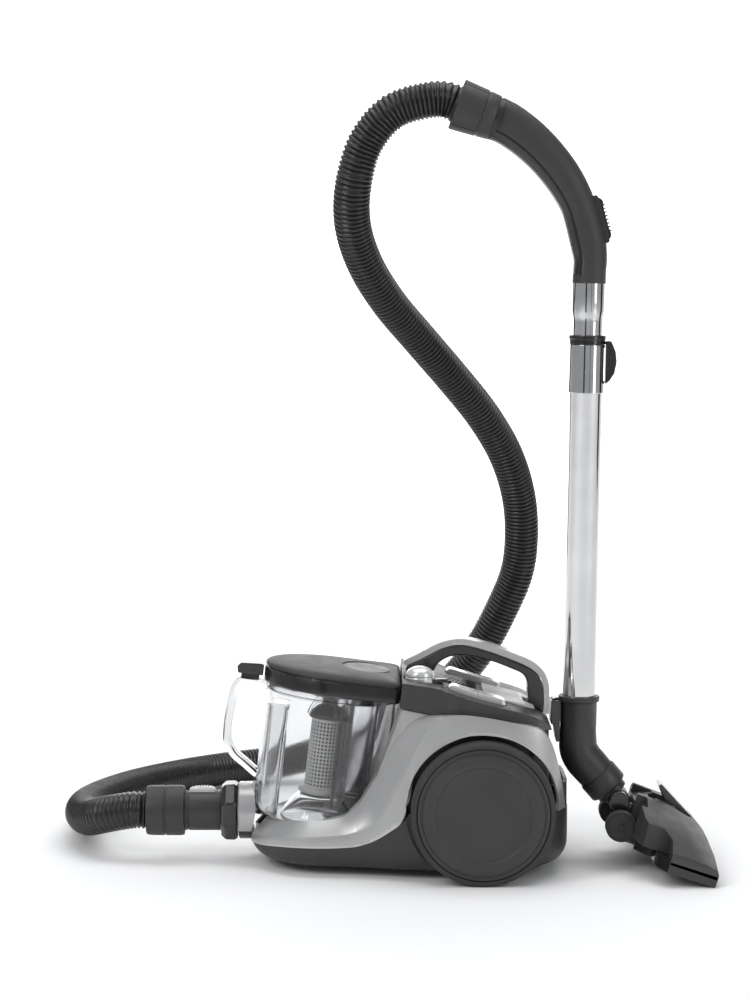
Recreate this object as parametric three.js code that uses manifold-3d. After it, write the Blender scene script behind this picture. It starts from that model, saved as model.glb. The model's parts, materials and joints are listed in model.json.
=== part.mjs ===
// Bagless canister vacuum cleaner, parked upright: canister with a clear dust bin, corrugated hose,
// telescopic wand and floor head. Millimetres, +Z up; the canister's front looks along -X.
import * as THREE from 'three';
import { mergeVertices } from 'three/addons/utils/BufferGeometryUtils.js';
import Module from 'manifold-3d';

// ---- driving dimensions -------------------------------------------------------------------------
const ORIGIN_X = 60.7;           // from the working frame to the middle of the rigid parts' box
const GAP = 0.4;                 // play between neighbouring pieces

const WHEEL = { x: 112.7, z: 75, radius: 75, inner: 106, outer: 135 };
const ARCH_RADIUS = 80;
const AXLE_RADIUS = 5;

const BODY_FRONT_RADIUS = 90;    // plan radius of the rounded nose, centred on BODY_FRONT_X
const BODY_FRONT_X = -46;
const COVER_WALL = 3.4;
const SPLIT_Z = 150;             // base tray below, top panel above
const HOUSING_X = 34;            // front wall of the motor housing

const BIN = { x: -63.8, z: 38, tilt: 7, radius: 70, wall: 2.5, floor: 7, length: 152, corner: 16 };
const BIN_CLEARANCE = 72;
const LID_RADIUS = 74;
const LID_REAR = 70;
const LID_DEPTH = 21;

const INLET = { z: 55, bore: 16 };
const HOSE_RADIUS = 20;
const HOSE_WALL = 2;

const WAND_FOOT_X = 216.3;       // where the wand's axis would meet the floor
const WAND_LEAN = 1;             // degrees, top towards +X
const TUBE_OUTER = 17.5;
const TUBE_INNER = 15.8;

const HEAD_NOSE_X = 351;         // the nose's lower edge, which rests on the floor
const HEAD_PITCH = 18;           // degrees, nose down
const HEAD_HALF_WIDTH = 135;

const wasm = await Module();
wasm.setup();

// ---- materials ----------------------------------------------------------------------------------
function finish(color, roughness, metalness = 0, opacity = 1) {
  return new THREE.MeshStandardMaterial({ color, roughness, metalness, opacity, transparent: opacity < 1 });
}
const charcoal = finish(0x3d3d3e, 0.45);
const black = finish(0x161617, 0.4);
const silver = finish(0xc4c5c7, 0.35, 0.6);
const lightGrey = finish(0xa9aaac, 0.5);
const clear = finish(0xdfe3e6, 0.08, 0, 0.35);
const chrome = finish(0xe2e3e5, 0.12, 1);
const rubber = finish(0x1c1c1d, 0.8);
const foam = finish(0xd9d9d2, 0.95);
const steel = finish(0x9b9da0, 0.35, 1);

// ---- geometry helpers ---------------------------------------------------------------------------
// Merges shared vertices, drops empty triangles and turns the faces outward.
function closed(geometry) {
  const bare = geometry.clone();
  for (const name of Object.keys(bare.attributes)) {
    if (name !== 'position') bare.deleteAttribute(name);
  }
  const merged = mergeVertices(bare, 1e-3);
  const position = merged.getAttribute('position');
  const corner = [new THREE.Vector3(), new THREE.Vector3(), new THREE.Vector3()];
  const kept = [];
  let volume = 0;
  for (let i = 0; i < merged.index.count; i += 3) {
    const [a, b, c] = [0, 1, 2].map((k) => merged.index.getX(i + k));
    if (a === b || b === c || a === c) continue;
    kept.push([a, b, c]);
    [a, b, c].forEach((vertex, k) => corner[k].fromBufferAttribute(position, vertex));
    volume += corner[0].dot(corner[1].clone().cross(corner[2]));
  }
  const order = volume < 0 ? kept.map(([a, b, c]) => [a, c, b]) : kept;
  merged.setIndex(order.flat());
  return merged;
}

function toManifold(geometry) {
  const shape = closed(geometry);
  return new wasm.Manifold(new wasm.Mesh({
    numProp: 3,
    vertProperties: new Float32Array(shape.getAttribute('position').array),
    triVerts: new Uint32Array(shape.index.array),
  }));
}

function fromManifold(manifold) {
  const mesh = manifold.getMesh();
  const geometry = new THREE.BufferGeometry();
  geometry.setAttribute('position', new THREE.BufferAttribute(new Float32Array(mesh.vertProperties), 3));
  geometry.setIndex(Array.from(mesh.triVerts));
  return geometry;
}

const combine = (method) => (first, ...others) => fromManifold(
  others.reduce((whole, next) => whole[method](toManifold(next)), toManifold(first)),
);
const join = combine('add');
const cut = combine('subtract');
const common = combine('intersect');

const toShape = (points) => new THREE.Shape(points.map(([x, y]) => new THREE.Vector2(x, y)));

// An outline in X and Z, extruded from y0 to y1.
function plate(points, y0, y1) {
  return new THREE.ExtrudeGeometry(toShape(points), { depth: y1 - y0, bevelEnabled: false })
    .rotateX(Math.PI / 2).translate(0, y1, 0);
}

// An outline in X and Y, extruded from z0 to z1.
function slab(points, z0, z1) {
  return new THREE.ExtrudeGeometry(toShape(points), { depth: z1 - z0, bevelEnabled: false })
    .translate(0, 0, z0);
}

function box(x0, x1, y0, y1, z0, z1) {
  return new THREE.BoxGeometry(x1 - x0, y1 - y0, z1 - z0)
    .translate((x0 + x1) / 2, (y0 + y1) / 2, (z0 + z1) / 2);
}

// A turned piece about Z from [radius, height] pairs.
function turned(profile, segments = 20) {
  return new THREE.LatheGeometry(profile.map(([r, h]) => new THREE.Vector2(r, h)), segments)
    .rotateX(Math.PI / 2);
}

// A hollow cylinder about Z.
const pipe = (outer, inner, z0, z1, segments = 20) => turned(
  [[inner, z0], [outer, z0], [outer, z1], [inner, z1], [inner, z0]], segments,
);
const rod = (radius, z0, z1, segments = 20) => turned(
  [[0, z0], [radius, z0], [radius, z1], [0, z1]], segments,
);

const alongX = (geometry) => geometry.rotateY(Math.PI / 2);
const alongY = (geometry) => geometry.rotateX(-Math.PI / 2);

// A tube swept along points, solid or with a bore.
function sweep(points, radius, sides, steps, boreRadius = 0) {
  const section = new THREE.Shape().absarc(0, 0, radius, 0, Math.PI * 2);
  if (boreRadius > 0) section.holes.push(new THREE.Path().absarc(0, 0, boreRadius, 0, Math.PI * 2, true));
  const path = new THREE.CatmullRomCurve3(points.map((p) => new THREE.Vector3(...p)), false, 'centripetal');
  return new THREE.ExtrudeGeometry(section, {
    steps, extrudePath: path, curveSegments: sides, bevelEnabled: false,
  });
}

const root = new THREE.Group();
root.position.x = -ORIGIN_X;

function add(name, geometry, material, parent = root) {
  const mesh = new THREE.Mesh(closed(geometry), material);
  mesh.name = name;
  parent.add(mesh);
  return mesh;
}

function frameAt(x, z, degrees) {
  const group = new THREE.Group();
  group.position.set(x, 0, z);
  group.rotation.y = THREE.MathUtils.degToRad(degrees);
  root.add(group);
  return group;
}

// ---- canister shells ----------------------------------------------------------------------------
// The canister seen from above: a round nose that widens towards the wheels. inset shrinks it.
function planOutline(inset) {
  const outline = [];
  const nose = BODY_FRONT_RADIUS - inset;
  for (let degrees = 90; degrees <= 270; degrees += 10) {
    const angle = THREE.MathUtils.degToRad(degrees);
    outline.push([BODY_FRONT_X + nose * Math.cos(angle), nose * Math.sin(angle)]);
  }
  const side = [[-10, 96], [25, 105], [70, 111], [120, 112], [165, 106], [190, 92], [203, 66], [206, 30]];
  const rear = side.map(([x, y]) => [x - (x > 180 ? inset : 0), y - inset]);
  outline.push(...rear.map(([x, y]) => [x, -y]));
  outline.push(...rear.reverse());
  return outline;
}

const prism = (inset) => slab(planOutline(inset), -5, 260);
const wheelBay = (side) => {
  const depth = 40;
  const start = side > 0 ? WHEEL.inner - 3 : -WHEEL.inner + 3 - depth;
  return alongY(rod(ARCH_RADIUS, start, start + depth, 40)).translate(WHEEL.x, 0, WHEEL.z);
};
const axleHole = alongY(rod(AXLE_RADIUS + GAP, -140, 140)).translate(WHEEL.x, 0, WHEEL.z);

// Everything the bin needs to pass through as it lifts straight up.
const binRoom = () => {
  const tilt = THREE.MathUtils.degToRad(BIN.tilt);
  return rod(BIN_CLEARANCE, BIN.floor - GAP, 190, 40).rotateY(tilt).translate(BIN.x, 0, BIN.z);
};

const trayLow = [[-131, 36.6], [-129, 28], [-120, 18], [-104, 12.5], [-80, 10.5], [182, 10.5], [192, 22],
  [199, 45], [203, 70.4], [33.2, 70], [11.7, 46], [-25.5, 35.2], [-77, 36.2]];
const trayHigh = [[-122, 20], [190, 20], [199, 98], [190, SPLIT_Z], [HOUSING_X, SPLIT_Z],
  [HOUSING_X, 37], [-128, 37]];
const trayRoom = [[HOUSING_X + 3, 14], [180, 14], [190, 26], [195, 98], [186, SPLIT_Z + 1],
  [HOUSING_X + 3, SPLIT_Z + 1]];
const aboveFloor = [[-140, 37], [HOUSING_X, 37], [HOUSING_X, 80], [-140, 80]];
const noseRoom = [[-116, 18], [HOUSING_X + 4, 14], [HOUSING_X + 4, 33], [-116, 33]];
const CASTER = { x: -84, pocket: 27, wheelRadius: 12, trail: 7 };

add('base_tray', cut(
  join(
    cut(
      common(plate(trayLow, -120, 120), prism(0)),
      common(plate(aboveFloor, -120, 120), prism(COVER_WALL + GAP)),
    ),
    common(plate(trayHigh, -120, 120), prism(COVER_WALL + GAP)),
    box(50, 160, -60, 60, 8.5, 11),
  ),
  common(plate(trayRoom, -120, 120), prism(COVER_WALL + 4)),
  common(plate(noseRoom, -70, 70), prism(COVER_WALL + 4)),
  rod(CASTER.pocket, 5, 32.9).translate(CASTER.x, 0, 0),
  rod(4.4, 30, 40).translate(CASTER.x, 0, 0),
  box(185, 215, -52, 52, 52, 96),
  box(185, 215, 61.4, 75.6, 55.4, 69.6),
  wheelBay(1), wheelBay(-1), axleHole,
), charcoal);

// Silver cover round each side: a band under the bin that climbs behind it and over the wheel.
const coverOutline = [[-140, 71], [-77, 66], [-25, 75], [6, 108], [26, 145], [52, 173], [62, 177],
  [99, 175], [140, 168], [176.5, 160], [191, 135], [199, 98], [206, 98], [206, 71], [32.9, 71], [11, 46.9],
  [-25.5, 35.9], [-77, 36.9], [-140, 37.5]];
for (const [name, y0, y1, side] of [['side_cover_left', -120, -26, -1], ['side_cover_right', 26, 120, 1]]) {
  add(name, cut(
    common(plate(coverOutline, y0, y1), prism(0)),
    prism(COVER_WALL), wheelBay(side), box(186, 215, -52.5, 52.5, 30, 99),
  ), silver);
}

add('bin_cradle', cut(
  common(
    plate([[-60, 37.5], [HOUSING_X - GAP, 37.5], [HOUSING_X - GAP, 179], [28.5, 179.5], [4, 108], [-27, 75],
      [-60, 64]], -120, 120),
    prism(COVER_WALL + 2 * GAP),
  ),
  binRoom(),
  alongX(rod(20, 20, 40, 24)).translate(0, 0, 120),
), lightGrey);

const panelOuter = [[HOUSING_X, SPLIT_Z + GAP], [HOUSING_X, 181], [29, 181], [29, 205], [73, 196],
  [117, 182.5], [154, 174], [169, 169], [184, 159], [188, SPLIT_Z + GAP]];
const panelRoom = [[37, SPLIT_Z - 1], [37, 200], [73, 192.5], [117, 179], [154, 170.5], [168, 165.5],
  [181, 157], [184, SPLIT_Z - 1]];
const PEDAL = { x0: 78, x1: 138, y0: 50, y1: 70 };
const DOME = { x: 48, y: -48, radius: 15 };

add('top_panel', cut(
  common(plate(panelOuter, -120, 120), prism(14)),
  common(plate(panelRoom, -120, 120), prism(17.5)),
  box(PEDAL.x0 - 1, PEDAL.x1 + 1, -PEDAL.y1 - 1, -PEDAL.y0 + 1, 165, 215),
  box(PEDAL.x0 - 1, PEDAL.x1 + 1, PEDAL.y0 - 1, PEDAL.y1 + 1, 165, 215),
  rod(DOME.radius + 1, 190, 220).translate(DOME.x, DOME.y, 0),
  ...[78, 84, 90, 96, 102].map((x) => box(x, x + 3, -28, 28, 170, 205)),
), charcoal);

// Light-grey deck at the rear of the panel, round the carry handle's rear foot.
add('deck_cover', cut(
  plate([[116, 183.3], [117, 186.5], [154, 177.5], [169, 172.5], [171, 168.6], [169, 169.4], [154, 174.4],
    [117, 182.9]], -46, 46),
  box(160, 200, -15, 15, 150, 200),
), lightGrey);

// ---- pedals, buttons ----------------------------------------------------------------------------
function pedal(side) {
  const { x0, x1, y0, y1 } = PEDAL;
  const top = plate([[x0, 191], [x0, 199.5], [x0 + 4, 201], [x1 - 3, 185.5], [x1, 182], [x1, 175]], y0, y1);
  const stem = box(100, 112, y0 + 5, y1 - 5, 166, 186);
  return join(top, stem).scale(1, side, 1);
}
add('power_pedal', pedal(-1), silver);
add('rewind_pedal', pedal(1), silver);
const dome = [[0, 195], [DOME.radius, 195]];
for (let degrees = 0; degrees <= 90; degrees += 22.5) {
  const angle = THREE.MathUtils.degToRad(degrees);
  dome.push([DOME.radius * Math.cos(angle), 209 + 9 * Math.sin(angle)]);
}
add('bin_lock_button', turned(dome, 20).translate(DOME.x, DOME.y, 0), silver);

// ---- carry handle -------------------------------------------------------------------------------
const strapOuter = [[31, 219], [46.6, 226.6], [68.6, 238.5], [84, 242], [96.4, 242.3], [117.3, 237.4],
  [148.4, 227.1], [170, 217.5], [181, 208], [185.5, 198], [187, 182], [186.5, 161.5]];
const strapInner = [[180.5, 162], [181, 182], [179.5, 195.5], [176, 203.5], [167, 211.5], [146, 221],
  [115.5, 231.2], [96, 236], [85, 235.8], [71, 232.5], [49, 221], [33, 213.5]];
const coreOuter = [[33.5, 213.1], [49.2, 220.5], [71.2, 232], [85, 235.3], [96, 235.5], [115.4, 230.7],
  [145.8, 220.5], [166.6, 211.1], [175.6, 203.2], [179, 195.3], [180, 182], [179.6, 163]];
const coreInner = [[165, 171.5], [163.5, 185], [163, 198], [158.8, 205], [145.8, 210.5], [122.4, 219.3],
  [96.5, 224.5], [80, 223.5], [68, 216], [62, 206], [60, 199.6], [34, 205]];
add('handle_strap', plate([...strapOuter, ...strapInner], -13, 13), silver);
add('handle_core', plate([...coreOuter, ...coreInner], -14, 14), black);

add('parking_bracket', cut(
  plate([[188.6, 150.9], [188.6, 176], [198.2, 176], [198.2, 132], [194.2, 132], [191, 150.9]], -16, 16),
  box(190, 194.8, -10.3, 10.3, 151, 180), box(194, 199, -5.3, 5.3, 151, 180),
), black);

// ---- inside the housing -------------------------------------------------------------------------
const MOTOR = { x: 104, z: 96, radius: 44 };
add('motor_housing', cut(
  alongY(pipe(MOTOR.radius, 16, -30, 32)),
  alongY(pipe(MOTOR.radius - 4, 22, -26, 28)),
  alongX(rod(14, 30, 60)),
).translate(MOTOR.x, 0, MOTOR.z), steel);
add('motor_mount_ring', alongY(pipe(MOTOR.radius + 8, MOTOR.radius + GAP, -8, 8))
  .translate(MOTOR.x, 0, MOTOR.z), rubber);
const fanBlades = [];
for (let i = 0; i < 8; i += 1) {
  fanBlades.push(box(10, 36, -46, -41.5, -1.5, 1.5).rotateY(i * Math.PI / 4));
}
add('motor_fan', join(
  alongY(rod(5, -48, 38)), alongY(rod(14, -25, 26)), alongY(rod(12, -46.5, -41)), alongY(rod(38, -50, -46)),
  ...fanBlades,
).translate(MOTOR.x, 0, MOTOR.z), steel);
const REEL = { x: 108, z: 92, radius: 58 };
add('cord_reel', join(
  cut(alongY(pipe(REEL.radius, 26, 44, 74)), alongY(pipe(REEL.radius + 1, 30, 48, 70))),
  alongY(pipe(27, 4, 46, 50)), alongY(rod(6, 41, 77)),
).translate(REEL.x, 0, REEL.z), charcoal);
add('motor_filter', box(39, 51, -45, 38, 60, 140), foam);
add('exhaust_filter', box(164, 182, -50, 42, 54, 94), foam);
add('power_switch', box(99, 113, -68, -52, 150, 161), black);

const grilleSlots = [];
for (let z = 57; z < 92; z += 6) grilleSlots.push(box(180, 220, -44, 44, z, z + 3));
add('exhaust_grille', cut(
  common(box(190, 206, -51, 51, 53, 95), cut(prism(1), prism(5))), ...grilleSlots,
), black);
add('cord_gland', cut(alongX(rod(6.6, 186, 204)), alongX(rod(4, 180, 210))).translate(0, 68.5, 62.5), rubber);

// ---- wheels -------------------------------------------------------------------------------------
const wheelDisc = [[AXLE_RADIUS + GAP, 107], [14, 107], [16, 118], [56, 120], [60, 108], [68, 107], [69, 132],
  [62, 134.6], [50, 134.6], [47, 133], [20, 132.4], [0, 132.4], [0, 129], [AXLE_RADIUS + GAP, 129],
  [AXLE_RADIUS + GAP, 107]];
const tyre = [[69.4, WHEEL.inner], [73.5, WHEEL.inner], [WHEEL.radius, WHEEL.inner + 2],
  [WHEEL.radius, WHEEL.outer - 4], [72.5, WHEEL.outer - 1], [69.4, WHEEL.outer - 1], [69.4, WHEEL.inner]];
for (const [end, side] of [['left', -1], ['right', 1]]) {
  const turn = side > 0 ? -Math.PI / 2 : Math.PI / 2;
  const place = (geometry) => geometry.rotateX(turn).translate(WHEEL.x, 0, WHEEL.z);
  add(`wheel_${end}`, place(turned(wheelDisc, 28)), charcoal);
  add(`tyre_${end}`, place(turned(tyre, 36)), rubber);
  add(`axle_${end}`, place(join(rod(AXLE_RADIUS, 86, 128), rod(9, 83, 86.5))), steel);
}

const casterX = CASTER.x + CASTER.trail;
add('caster_fork', cut(
  join(
    rod(4, 28, 36).translate(CASTER.x, 0, 0),
    rod(17, 26, 30).translate(CASTER.x, 0, 0),
    ...[-11, 11].map((y) => box(casterX - 6, casterX + 6, y - 1.5, y + 1.5, 7, 27)),
  ),
  alongY(rod(2.4, -20, 20)).translate(casterX, 0, CASTER.wheelRadius),
), black);
add('caster_wheel', join(alongY(rod(CASTER.wheelRadius, -8.8, 8.8)), alongY(rod(2, -12.4, 12.4, 16)))
  .translate(casterX, 0, CASTER.wheelRadius), rubber);

// ---- dust bin, lid and cyclone ------------------------------------------------------------------
const binFrame = frameAt(BIN.x, BIN.z, BIN.tilt);
function arc(cx, cz, radius, from, to, step) {
  const points = [];
  const count = Math.round(Math.abs(to - from) / step);
  for (let i = 0; i <= count; i += 1) {
    const angle = THREE.MathUtils.degToRad(from + (to - from) * i / count);
    points.push([cx + radius * Math.cos(angle), cz + radius * Math.sin(angle)]);
  }
  return points;
}
const cornerZ = BIN.floor + BIN.corner;
const binWall = [[0, BIN.floor], ...arc(BIN.radius - BIN.corner, cornerZ, BIN.corner, -90, 0, 30),
  [BIN.radius, BIN.length], [BIN.radius - BIN.wall, BIN.length],
  ...arc(BIN.radius - BIN.corner, cornerZ, BIN.corner - BIN.wall, 0, -90, 30), [0, BIN.floor + BIN.wall]];
const loopOuter = [[-66, 126], [-66, 151.8], [-74.8, 151.8], [-74.8, 153.2], [-97, 153.2], [-97, 164],
  [-101, 164], [-106, 158], [-111, 128], [-113, 100], [-110, 78], [-102, 64], [-67, 42]];
const loopInner = [[-67, 54], [-94, 71], [-100, 82], [-102, 100], [-100, 126], [-95, 143], [-90, 149],
  [-82, 146], [-74, 138], [-72, 126]];
const binCore = turned([[0, BIN.floor + 1],
  ...arc(BIN.radius - BIN.corner, cornerZ, BIN.corner - 1, -90, 0, 30),
  [BIN.radius - 1, BIN.length - 1], [0, BIN.length - 1]], 32);
const inletDuct = cut(
  common(box(-75, -42, -20, 20, 1, 130), binCore),
  box(-63.5, -44.5, -17.5, 17.5, 11, 127.5), box(-50, -40, -17, 17, 95, 126),
);
add('dust_bin', cut(
  join(
    turned(binWall, 32), inletDuct,
    cut(plate([...loopOuter, ...loopInner], -10, 10), rod(BIN.radius - 1, -5, 200, 32)),
  ),
  alongX(rod(12, -90, -50)).translate(0, 0, 25.6),
), clear, binFrame);
add('bin_button', join(
  box(-96.4, -75.4, -9, 9, 156.6, 166), box(-88, -82, -4, 4, 155.4, 158),
), black, binFrame);

const lidOutline = (inset) => {
  const points = arc(0, 0, LID_RADIUS - inset, 90, 270, 10);
  return [...points, [LID_REAR - inset, -LID_RADIUS + inset], [LID_REAR - inset, LID_RADIUS - inset]];
};
const lidBase = BIN.length + GAP;
const lidTop = lidBase + LID_DEPTH;
add('bin_lid', cut(
  join(
    slab(lidOutline(0), lidBase, lidTop),
    slab(lidOutline(6), lidTop - 1, lidTop + 3),
    pipe(BIN.radius - BIN.wall - GAP, 62, BIN.length - 8, lidBase + 1, 32),
  ),
  slab(lidOutline(14), lidBase - 1, lidTop - 3),
  rod(60, BIN.length - 10, lidBase + 1),
), charcoal, binFrame);
const shroudHang = box(-4, 4, -4, 4, 120, 150);
add('cyclone_shroud', join(pipe(20, 17.5, 42, 118), pipe(23, 12, 37, 43.6)), lightGrey, binFrame);
add('shroud_cap', join(
  turned([[0, 118.4], [20.5, 118.4], [20.5, 124], [12, 132], [0, 132]]), shroudHang.translate(0, 0, 5),
  box(-50, 50, -4, 4, 152.6, 156), rod(9, 130, 154),
), black, binFrame);
add('cyclone_skirt', turned([[12, 36.6], [22, 36.6], [36, 19], [38, 12], [36, 12], [33, 18], [20, 33],
  [12, 33], [12, 36.6]]), lightGrey, binFrame);
for (const [end, side] of [['left', -1], ['right', 1]]) {
  const tube = [[13, 42], [17, 64], [18, 138], [15.6, 138], [14.6, 64], [10.6, 42], [13, 42]];
  add(`cyclone_tube_${end}`, turned(tube).translate(34, 21 * side, 0), lightGrey, binFrame);
}

// ---- hose inlet ---------------------------------------------------------------------------------
const CONNECTOR_RADIUS = 21.6;
const TAB_SLOT_FLOOR = 17.6;      // leaves room under the tab's stem at the end of its travel
const inletParts = (geometry) => geometry.translate(0, 0, INLET.z);
add('inlet_neck', cut(
  inletParts(join(alongX(rod(31, -146, -134.5)), alongX(rod(24, -136, -131.2)))),
  inletParts(alongX(rod(INLET.bore, -150, -134))), alongX(rod(12, -140, -125)).translate(0, 0, 68),
  box(-150, -120, -40, 40, 20, 36.8),
), silver);
add('inlet_collar', inletParts(cut(
  alongX(turned([[0, -165], [28, -165], [32.5, -160], [32.5, -150], [30.5, -146.4], [0, -146.4]], 8)
    .rotateZ(Math.PI / 8)),
  alongX(rod(CONNECTOR_RADIUS + GAP, -170, -149)), alongX(rod(INLET.bore, -150, -140)),
)), black);
add('hose_connector', inletParts(cut(
  alongX(pipe(CONNECTOR_RADIUS, INLET.bore, -206, -149.4)), box(-200, -170, -7, 7, TAB_SLOT_FLOOR, 25),
)), charcoal);
add('connector_tab', inletParts(join(
  box(-199, -171, -6, 6, 22.4, 25.6), box(-190, -180, -3, 3, 19.9, 23),
)), lightGrey);
add('inlet_sleeve', inletParts(alongX(turned([[17.5, -245], [26, -245], [27, -240], [27, -207], [26, -204],
  [22.1, -204], [22.1, -207.4], [17.5, -207.4], [17.5, -245]]))), charcoal);

// ---- wand ---------------------------------------------------------------------------------------
const wandFrame = frameAt(WAND_FOOT_X, 0, WAND_LEAN);
add('wand_tube', pipe(TUBE_OUTER, TUBE_OUTER - 1.2, 150.5, 512), chrome, wandFrame);
add('wand_sleeve', cut(
  join(
    pipe(18.7, TUBE_OUTER + GAP, 505, 556), pipe(19.8, TUBE_INNER + GAP, 556.4, 565),
    pipe(19.8, 17, 556, 557),
  ),
  box(8, 30, -7.5, 7.5, 518, 553),
), charcoal, wandFrame);
add('telescope_button', join(
  plate([[19.2, 516], [28, 518], [30.5, 524], [30, 545], [27, 553], [19.2, 555]], -9, 9),
  box(18.2, 20, -5, 5, 525, 545),
), black, wandFrame);
const elbow = sweep([[218.9, 0, 150], [218.6, 0, 134], [219.3, 0, 122], [224, 0, 112], [230.5, 0, 104.3],
  [236, 0, 98]], 18.6, 7, 8, 15.2);
const hook = join(
  box(190.5, 193.4, -9.6, 9.6, 152, 178), box(193, 200.4, -4.6, 4.6, 152, 178),
);
const neckSocket = join(pipe(19.5, TUBE_OUTER + GAP, 150, 174), pipe(22, TUBE_OUTER + GAP, 174, 180),
  pipe(19.5, 15.2, 145.5, 150.1));
const leanRadians = THREE.MathUtils.degToRad(WAND_LEAN);
neckSocket.rotateY(leanRadians).translate(WAND_FOOT_X, 0, 0);
add('wand_neck', join(neckSocket, cut(elbow, box(190, 250, -30, 30, 149.5, 160)), hook), black);

const NECK = { x: 237.8, z: 96, down: 49 };
const neckFrame = frameAt(NECK.x, NECK.z, 90 + NECK.down);   // local +Z runs down the sleeve
const hingeDrop = 36.2;
add('neck_swivel', join(
  pipe(20.5, 15.5, 2.6, 22), pipe(17, 14.2, 21, 30),
  alongY(pipe(12, 3.4, -17, 17)).translate(0, 0, hingeDrop),
), black, neckFrame);

// ---- floor head ---------------------------------------------------------------------------------
const headFrame = frameAt(HEAD_NOSE_X, 0, HEAD_PITCH);       // local X along the sole, Z off it
const HINGE = { x: -106.3, z: 37.7 };
const HEAD_WHEEL = { x: -99.5, z: 16.8, radius: 16.5, y: 45 };
const headPlan = [[0, -HEAD_HALF_WIDTH], [0, HEAD_HALF_WIDTH], [-52, HEAD_HALF_WIDTH], [-62, 120], [-64, 74],
  [-84, 60], [-104, 60], [-104, -60], [-84, -60], [-64, -74], [-62, -120], [-52, -HEAD_HALF_WIDTH]];
const wheelPockets = [-1, 1].map(
  (side) => box(-118, -81, side * HEAD_WHEEL.y - 10, side * HEAD_WHEEL.y + 10, -5, 60),
);
const ears = [-1, 1].map((side) => join(
  alongY(rod(11, side > 0 ? 18 : -27, side > 0 ? 27 : -18)).translate(HINGE.x, 0, HINGE.z),
  box(HINGE.x, -96, side > 0 ? 18 : -27, side > 0 ? 27 : -18, 10, 40),
));
add('head_base', cut(
  join(
    cut(slab(headPlan, 0, 12), box(-12, -2, -128, 128, -1, 8), box(-50, -20, -110, 110, -1, 7),
      box(-92, -75, -30, 30, 3, 20), ...wheelPockets),
    ...ears,
  ),
  alongY(rod(3.4, -40, 40)).translate(HINGE.x, 0, HINGE.z),
  ...[-1, 1].map((side) => alongY(rod(2.4, side * HEAD_WHEEL.y - 14, side * HEAD_WHEEL.y + 14))
    .translate(HEAD_WHEEL.x, 0, HEAD_WHEEL.z)),
), charcoal, headFrame);
const coverSide = [[1, 12.4], [1, 18], [-8, 34], [-24, 46], [-33, 48], [-66, 50], [-89, 47], [-92, 12.4]];
const coverRoom = [[-3, 12], [-3, 17], [-11, 31.5], [-26, 43], [-35, 45], [-66, 47], [-86, 44], [-89, 12]];
add('head_cover', cut(
  common(plate(coverSide, -140, 140), slab(headPlan, 0, 60)),
  common(plate(coverRoom, -132, 132), slab(headPlan.map(([x, y]) => [x - 2, y * 0.97]), 0, 60)),
  box(-100, -60, 75, 140, 0, 60), box(-100, -60, -140, -75, 0, 60),
  box(-75, -36, -17, 17, 44, 60), ...wheelPockets,
), charcoal, headFrame);
add('head_pedal', join(
  plate([[-70, 50], [-74, 68], [-70, 70.5], [-62, 66], [-40, 53], [-40, 49], [-50, 44], [-62, 46]], -15, 15),
  alongY(rod(2, -16.6, 16.6, 16)).translate(-48, 0, 48),
), charcoal, headFrame);
add('hinge_pin', join(
  alongY(rod(3, -26.6, 26.6, 20)), alongY(rod(5, 27.4, 29, 20)), alongY(rod(3, 26, 28, 20)),
).translate(HINGE.x, 0, HINGE.z), steel, headFrame);
add('brush_strip', join(box(-11, -3, -127, 127, 3, 7), box(-9, -5, -126, 126, 1.2, 4)), black, headFrame);
for (const [end, side] of [['left', -1], ['right', 1]]) {
  add(`head_wheel_${end}`, join(
    alongY(rod(HEAD_WHEEL.radius, -8, 8)), alongY(rod(2, -13, 13, 16)),
  ).translate(HEAD_WHEEL.x, side * HEAD_WHEEL.y, HEAD_WHEEL.z), rubber, headFrame);
}

// ---- telescopic tube and grip -------------------------------------------------------------------
add('inner_tube', join(
  pipe(TUBE_INNER, TUBE_INNER - 1.2, 190, 621),
  turned([[TUBE_INNER - 0.5, 566], [TUBE_INNER, 566], [TUBE_OUTER, 600], [TUBE_OUTER, 621],
    [TUBE_INNER - 0.5, 621], [TUBE_INNER - 0.5, 566]]),
), chrome, wandFrame);
const gripPath = [[227.2, 0, 622], [227.4, 0, 633], [228.2, 0, 646], [225.4, 0, 666], [215.1, 0, 702.5],
  [204.1, 0, 724.1], [186.9, 0, 748], [164.3, 0, 771], [141, 0, 788], [128.4, 0, 793.8]];
add('grip', sweep(gripPath, 19, 6, 12, 16.5), charcoal);
const GRIP_SLIDER = { x: 239.9, z: 688.5, tilt: -15.4 };
add('grip_slider', join(
  box(0, 6, -7, 7, -23, 23),
  ...[-12, -4, 4, 12].map((z) => box(5.5, 7.5, -7, 7, z - 1.5, z + 1.5)),
).rotateY(THREE.MathUtils.degToRad(GRIP_SLIDER.tilt)).translate(GRIP_SLIDER.x, 0, GRIP_SLIDER.z), lightGrey);
const GRIP_SLEEVE = { x: 127, z: 794.6, rise: 20, length: 41 };
const sleeveFrame = frameAt(GRIP_SLEEVE.x, GRIP_SLEEVE.z, GRIP_SLEEVE.rise - 90);
add('grip_sleeve', turned([[17.5, 1], [24, 1], [27.5, GRIP_SLEEVE.length - 1], [26.5, GRIP_SLEEVE.length],
  [17.5, GRIP_SLEEVE.length], [17.5, 1]]), charcoal, sleeveFrame);

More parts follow.
